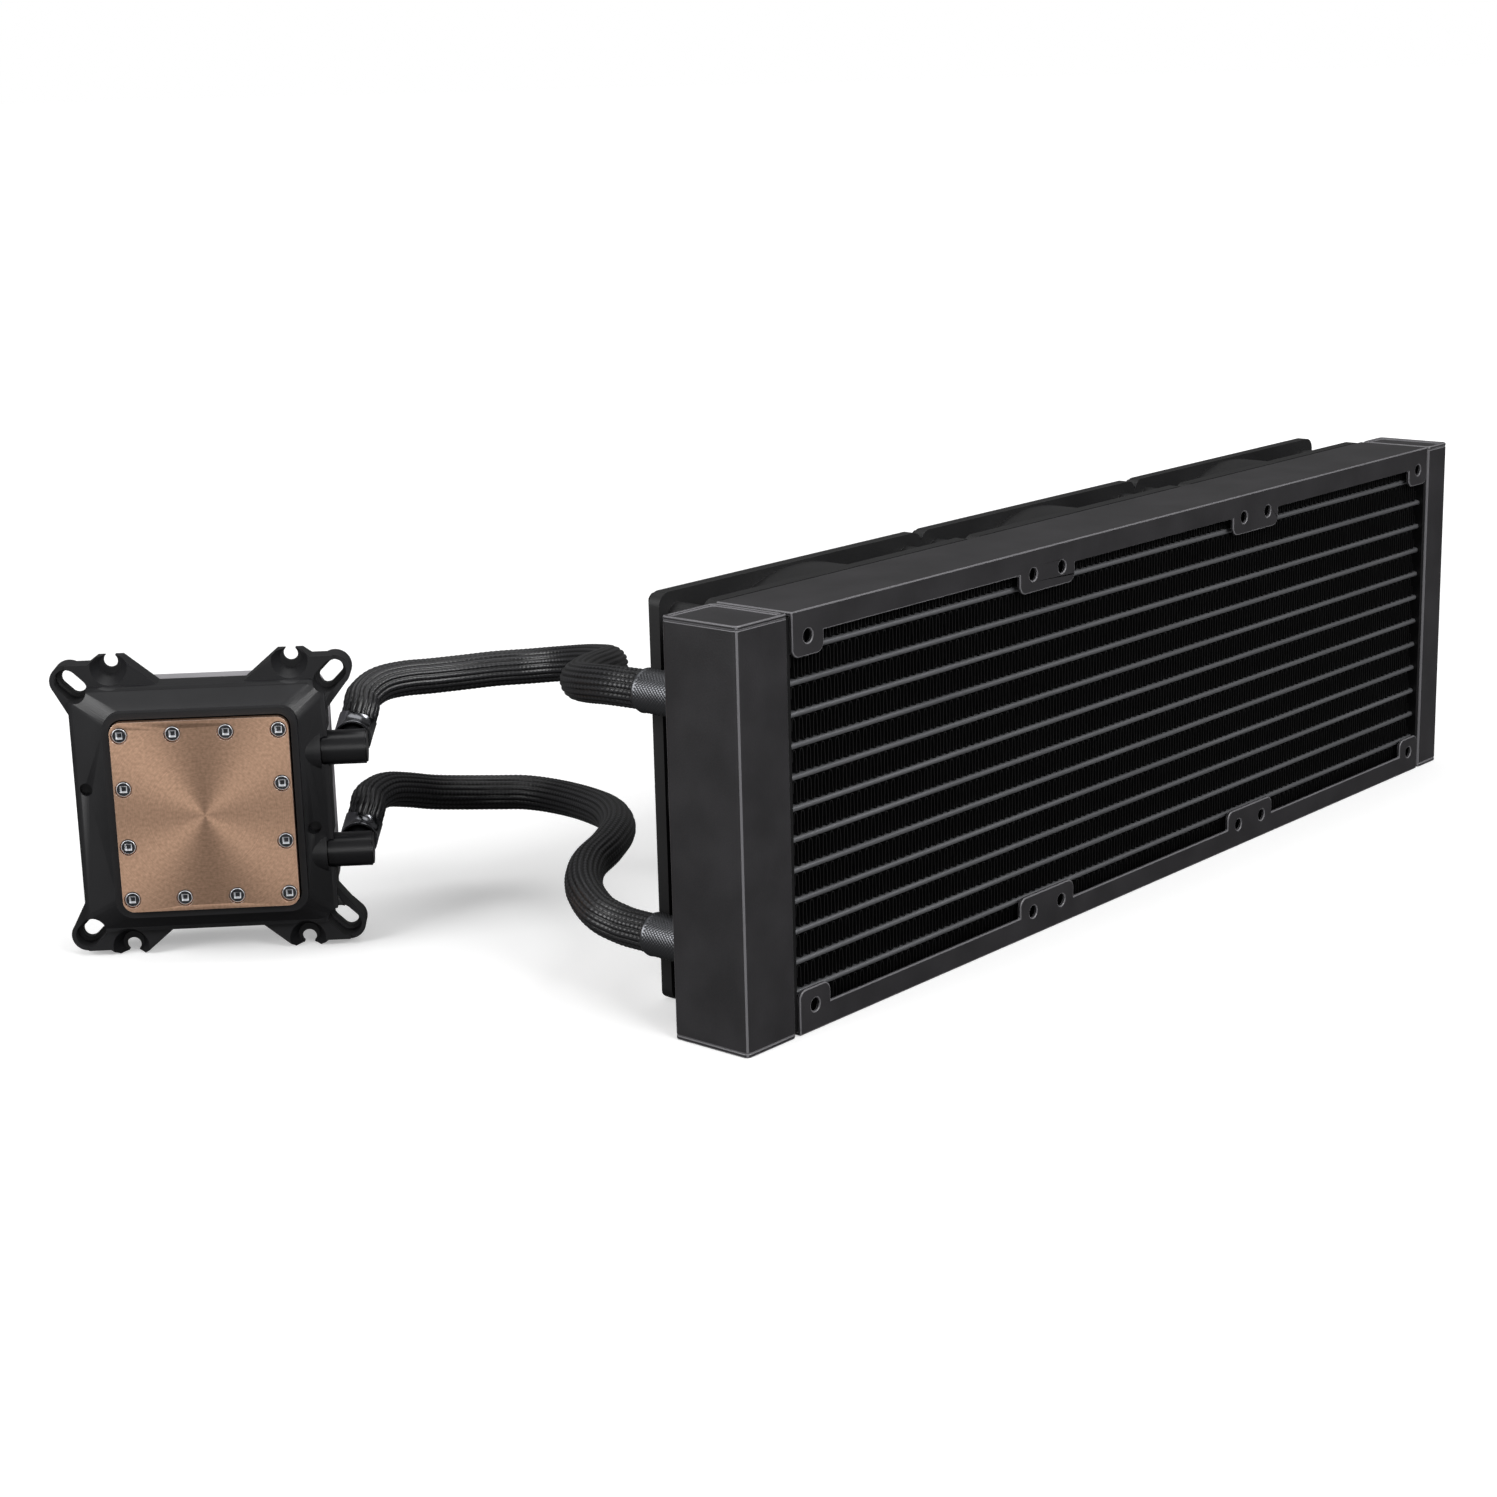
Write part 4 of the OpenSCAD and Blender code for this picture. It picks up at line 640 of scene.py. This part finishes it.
for side, height in port_height.items():
    mouth, way = hose_port(height)[2:]
    pump_mouth = pump @ Vector(mouth)
    pump_way = pump.to_3x3() @ Vector(way)
    low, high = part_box(side + "_radiator_ferrule")
    end = Vector(((low.x + high.x) / 2, high.y, (low.z + high.z) / 2))
    route, length = smooth_route([pump_mouth, pump_mouth + hose_lead * pump_way, *hose_routes[side],
                                  end + Vector((0, hose_lead, 0)), end], route_step)
    points, around_uv, along_uv = braided_tube(route, length)
    quads = ring_quads(points)
    mesh = bpy.data.meshes.new(side + "_braided_hose")
    count = points.shape[1]
    caps = [list(range(count))[::-1], list(range((len(route) - 1) * count, len(route) * count))]
    mesh.from_pydata(points.reshape(-1, 3).tolist(), [], quads.tolist() + caps)
    mesh.shade_smooth()
    corners = np.zeros(len(mesh.loops), np.int64)
    mesh.loops.foreach_get("vertex_index", corners)
    uv = mesh.uv_layers.new(name="braid")
    flat_uv = np.stack([along_uv.reshape(-1), around_uv.reshape(-1)], axis=1)[corners]
    uv.data.foreach_set("uv", flat_uv.astype(np.float32).ravel())
    hose = bpy.data.objects.new(side + "_braided_hose", mesh)
    mesh.materials.append(woven_nylon)
    bpy.context.scene.collection.objects.link(hose)
    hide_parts(side + "_hose")
    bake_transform(hose)

# ---- Fans ----
# Three square frames with rubber corner pads, screwed to the radiator's back. Each rotor is one moulding: a
# hub over the motor, with nine swept and twisted blades.

# Glass-filled PBT: matt black with a fine grain, a little lighter than the radiator's coat.
moulded_pbt = pressed_grain(new_material("matt_moulded_pbt", "#121213", {
    "Roughness": 0.5, "Specular IOR Level": 0.45}), 0.0006, 0.00003, mottle=0.12, shine=0.05)
# The blades' tool is polished, so they are smoother than the frame.
smooth_pbt = pressed_grain(new_material("smooth_moulded_pbt", "#161618", {"Roughness": 0.34}),
                           0.0015, 0.00001, mottle=0.08, shine=0.04)
# Silicone rubber: dull and very dark.
soft_rubber = pressed_grain(new_material("soft_silicone_rubber", "#101011", {
    "Roughness": 0.75, "Specular IOR Level": 0.3}), 0.0008, 0.00003, mottle=0.15)
# Steel with a black oxide finish: dark with a metallic glint.
black_oxide = pressed_grain(new_material("black_oxide_steel", "#3a3b3e", {
    "Metallic": 0.9, "Roughness": 0.35}), 0.0004, 0.00001, shine=0.06)

blade_count = 9
hub_radius, blade_reach = 0.0205, 0.0564
blade_middle = 0.014
pad_thickness = 0.0005


def fan_blade(across=14, along=26):
    """One blade, closed: at each radius a section of chord c is pitched by an angle that falls from hub to
    tip, arched by camber*(1-s^2) and thickened by a rounded half-width; the whole section is swept round
    the axis."""
    reach = np.linspace(0, 1, along)[:, None]
    radius = hub_radius - 0.0008 + (blade_reach - hub_radius + 0.0008) * reach
    chord = 0.024 + 0.009 * np.sin(reach * 2.2)
    pitch = np.radians(44 - 20 * reach)
    loop = np.linspace(0, 2 * np.pi, 2 * across, endpoint=False)[None, :]
    s = np.cos(loop)
    half = 0.0009 * np.sin(loop) * np.sqrt(np.clip(1 - 0.35 * s, 0.1, 2)) * (1.1 - 0.25 * reach)
    arch = 0.0022 * (1 - s ** 2)
    run = chord / 2 * s * np.cos(pitch) - (half + arch) * np.sin(pitch)
    rise = chord / 2 * s * np.sin(pitch) + (half + arch) * np.cos(pitch)
    turn = run / radius + 0.32 * reach ** 1.6
    return np.stack([radius * np.cos(turn), radius * np.sin(turn), blade_middle + rise], axis=-1)


def blade_set(place, matrix):
    """All blades of one rotor: the blade turned to each of its places, then put where the fan is."""
    blade = fan_blade()
    rows, columns = blade.shape[:2]
    turns = np.arange(blade_count) * 2 * np.pi / blade_count
    cosine, sine = np.cos(turns)[:, None, None], np.sin(turns)[:, None, None]
    x = cosine * blade[..., 0] - sine * blade[..., 1]
    y = sine * blade[..., 0] + cosine * blade[..., 1]
    z = np.broadcast_to(blade[..., 2], x.shape)
    local = np.stack([x, y, z], axis=-1)
    whole = np.array(Matrix.Translation(place) @ matrix)
    points = local @ whole[:3, :3].T + whole[:3, 3]
    side = ring_quads(blade)
    quads = np.concatenate([side + k * rows * columns for k in range(blade_count)])
    tips = [list(range(k * rows * columns + r * columns, k * rows * columns + (r + 1) * columns))
            for k in range(blade_count) for r in (0, rows - 1)]
    return points.reshape(-1, 3), quads.tolist() + tips


hub_profile = [(0.0189, 0.0046), (0.0205, 0.0046), (0.0205, 0.0216), (0.0202, 0.0226), (0.0194, 0.0233),
               (0.0183, 0.0234), (0.0164, 0.0234), (0.0161, 0.0231), (0.0158, 0.0231), (0.0155, 0.0234),
               (0.006, 0.0234), (0.0056, 0.0232), (0.0, 0.0232)]
hub_inside = [(0.0, 0.0218), (0.0185, 0.0218), (0.0189, 0.0214)]
for number in (1, 2, 3):
    place = Vector(joints[f"fan_{number}_spin"]["pos_m"])
    place.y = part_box(f"fan_{number}_frame")[0].y - pad_thickness
    rounded_copy(f"fan_{number}_frame", f"fan_{number}_housing", 0.0005, moulded_pbt)
    points, faces = blade_set(place, along_y)
    hub_points = turned(hub_profile + hub_inside, 96, place, along_y)
    hub_quads = closed_grid(hub_points) + len(points)
    rotor = mesh_piece(f"fan_{number}_impeller", np.concatenate([points, hub_points.reshape(-1, 3)]),
                       faces + hub_quads.tolist(), 40)
    show(rotor, f"fan_{number}_spinner", smooth_pbt)
    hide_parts(f"fan_{number}_rotor")

rounded_copy("fan_pads", "corner_pads", 0.0001, soft_rubber)
rounded_copy("fan_screws", "fan_screw_heads", 0.0002, black_oxide)
rounded_copy("fill_plug", "slotted_fill_plug", 0.0003, black_oxide)

# ---- Inside pieces ----
# What is closed in still gets its own finish: seals, motors, magnets, the circuit board and the pump's wheel.

# Sintered ferrite: grey-brown and grainy.
ferrite = pressed_grain(new_material("sintered_ferrite", "#4a4640", {
    "Roughness": 0.6}), 0.0005, 0.00003, mottle=0.2)
# Enamelled copper wire: orange-brown with a gloss.
enamelled_copper = pressed_grain(new_material("enamelled_copper_wire", "#9a5326", {
    "Metallic": 0.8, "Roughness": 0.3}), 0.0004, 0.00006, mottle=0.2)
# Stacked silicon steel sheet: mid grey with fine layers.
stacked_steel = pressed_grain(new_material("stacked_silicon_steel", "#85878a", {
    "Metallic": 0.9, "Roughness": 0.42}), 0.0005, 0.00002, mottle=0.1)
# Epoxy glass laminate under a green mask.
green_laminate = pressed_grain(new_material("green_glass_laminate", "#1f4a33", {
    "Roughness": 0.3}), 0.001, 0.00001, mottle=0.1)
# Oil-soaked sintered bronze.
sintered_bronze = pressed_grain(new_material("sintered_bronze", "#a3895a", {
    "Metallic": 0.9, "Roughness": 0.5}), 0.0004, 0.00003, mottle=0.15)
# Unpigmented acetal: creamy white, slightly waxy.
natural_acetal = pressed_grain(new_material("natural_acetal", "#d6d4c8", {
    "Roughness": 0.38, "Subsurface Weight": 0.1}), 0.001, 0.00001, mottle=0.03)
# Ground alumina: near white and smooth.
ground_ceramic = pressed_grain(new_material("ground_alumina", "#e6e4de", {
    "Roughness": 0.2}), 0.001, 0.000004, mottle=0.02)
# Mill-finish aluminium, as brazed.
mill_aluminium = pressed_grain(new_material("mill_finish_aluminium", "#a9abae", {
    "Metallic": 1.0, "Roughness": 0.4}), 0.0006, 0.00001, mottle=0.1)
finishes = {"magnet": ferrite, "copper_wire": enamelled_copper, "lamination": stacked_steel,
            "board": green_laminate, "bronze": sintered_bronze, "natural_plastic": natural_acetal,
            "ceramic": ground_ceramic, "raw_aluminium": mill_aluminium, "rubber": soft_rubber,
            "screw_steel": zinc_steel, "dark_steel": black_oxide}
finish_of = {part["node"]: part["material_slot"] for part in frame["record"]["subparts"]}
for node, thing in frame["nodes"].items():
    if not thing.hide_render and finish_of[node] in finishes:
        thing.data.materials.clear()
        thing.data.materials.append(finishes[finish_of[node]])
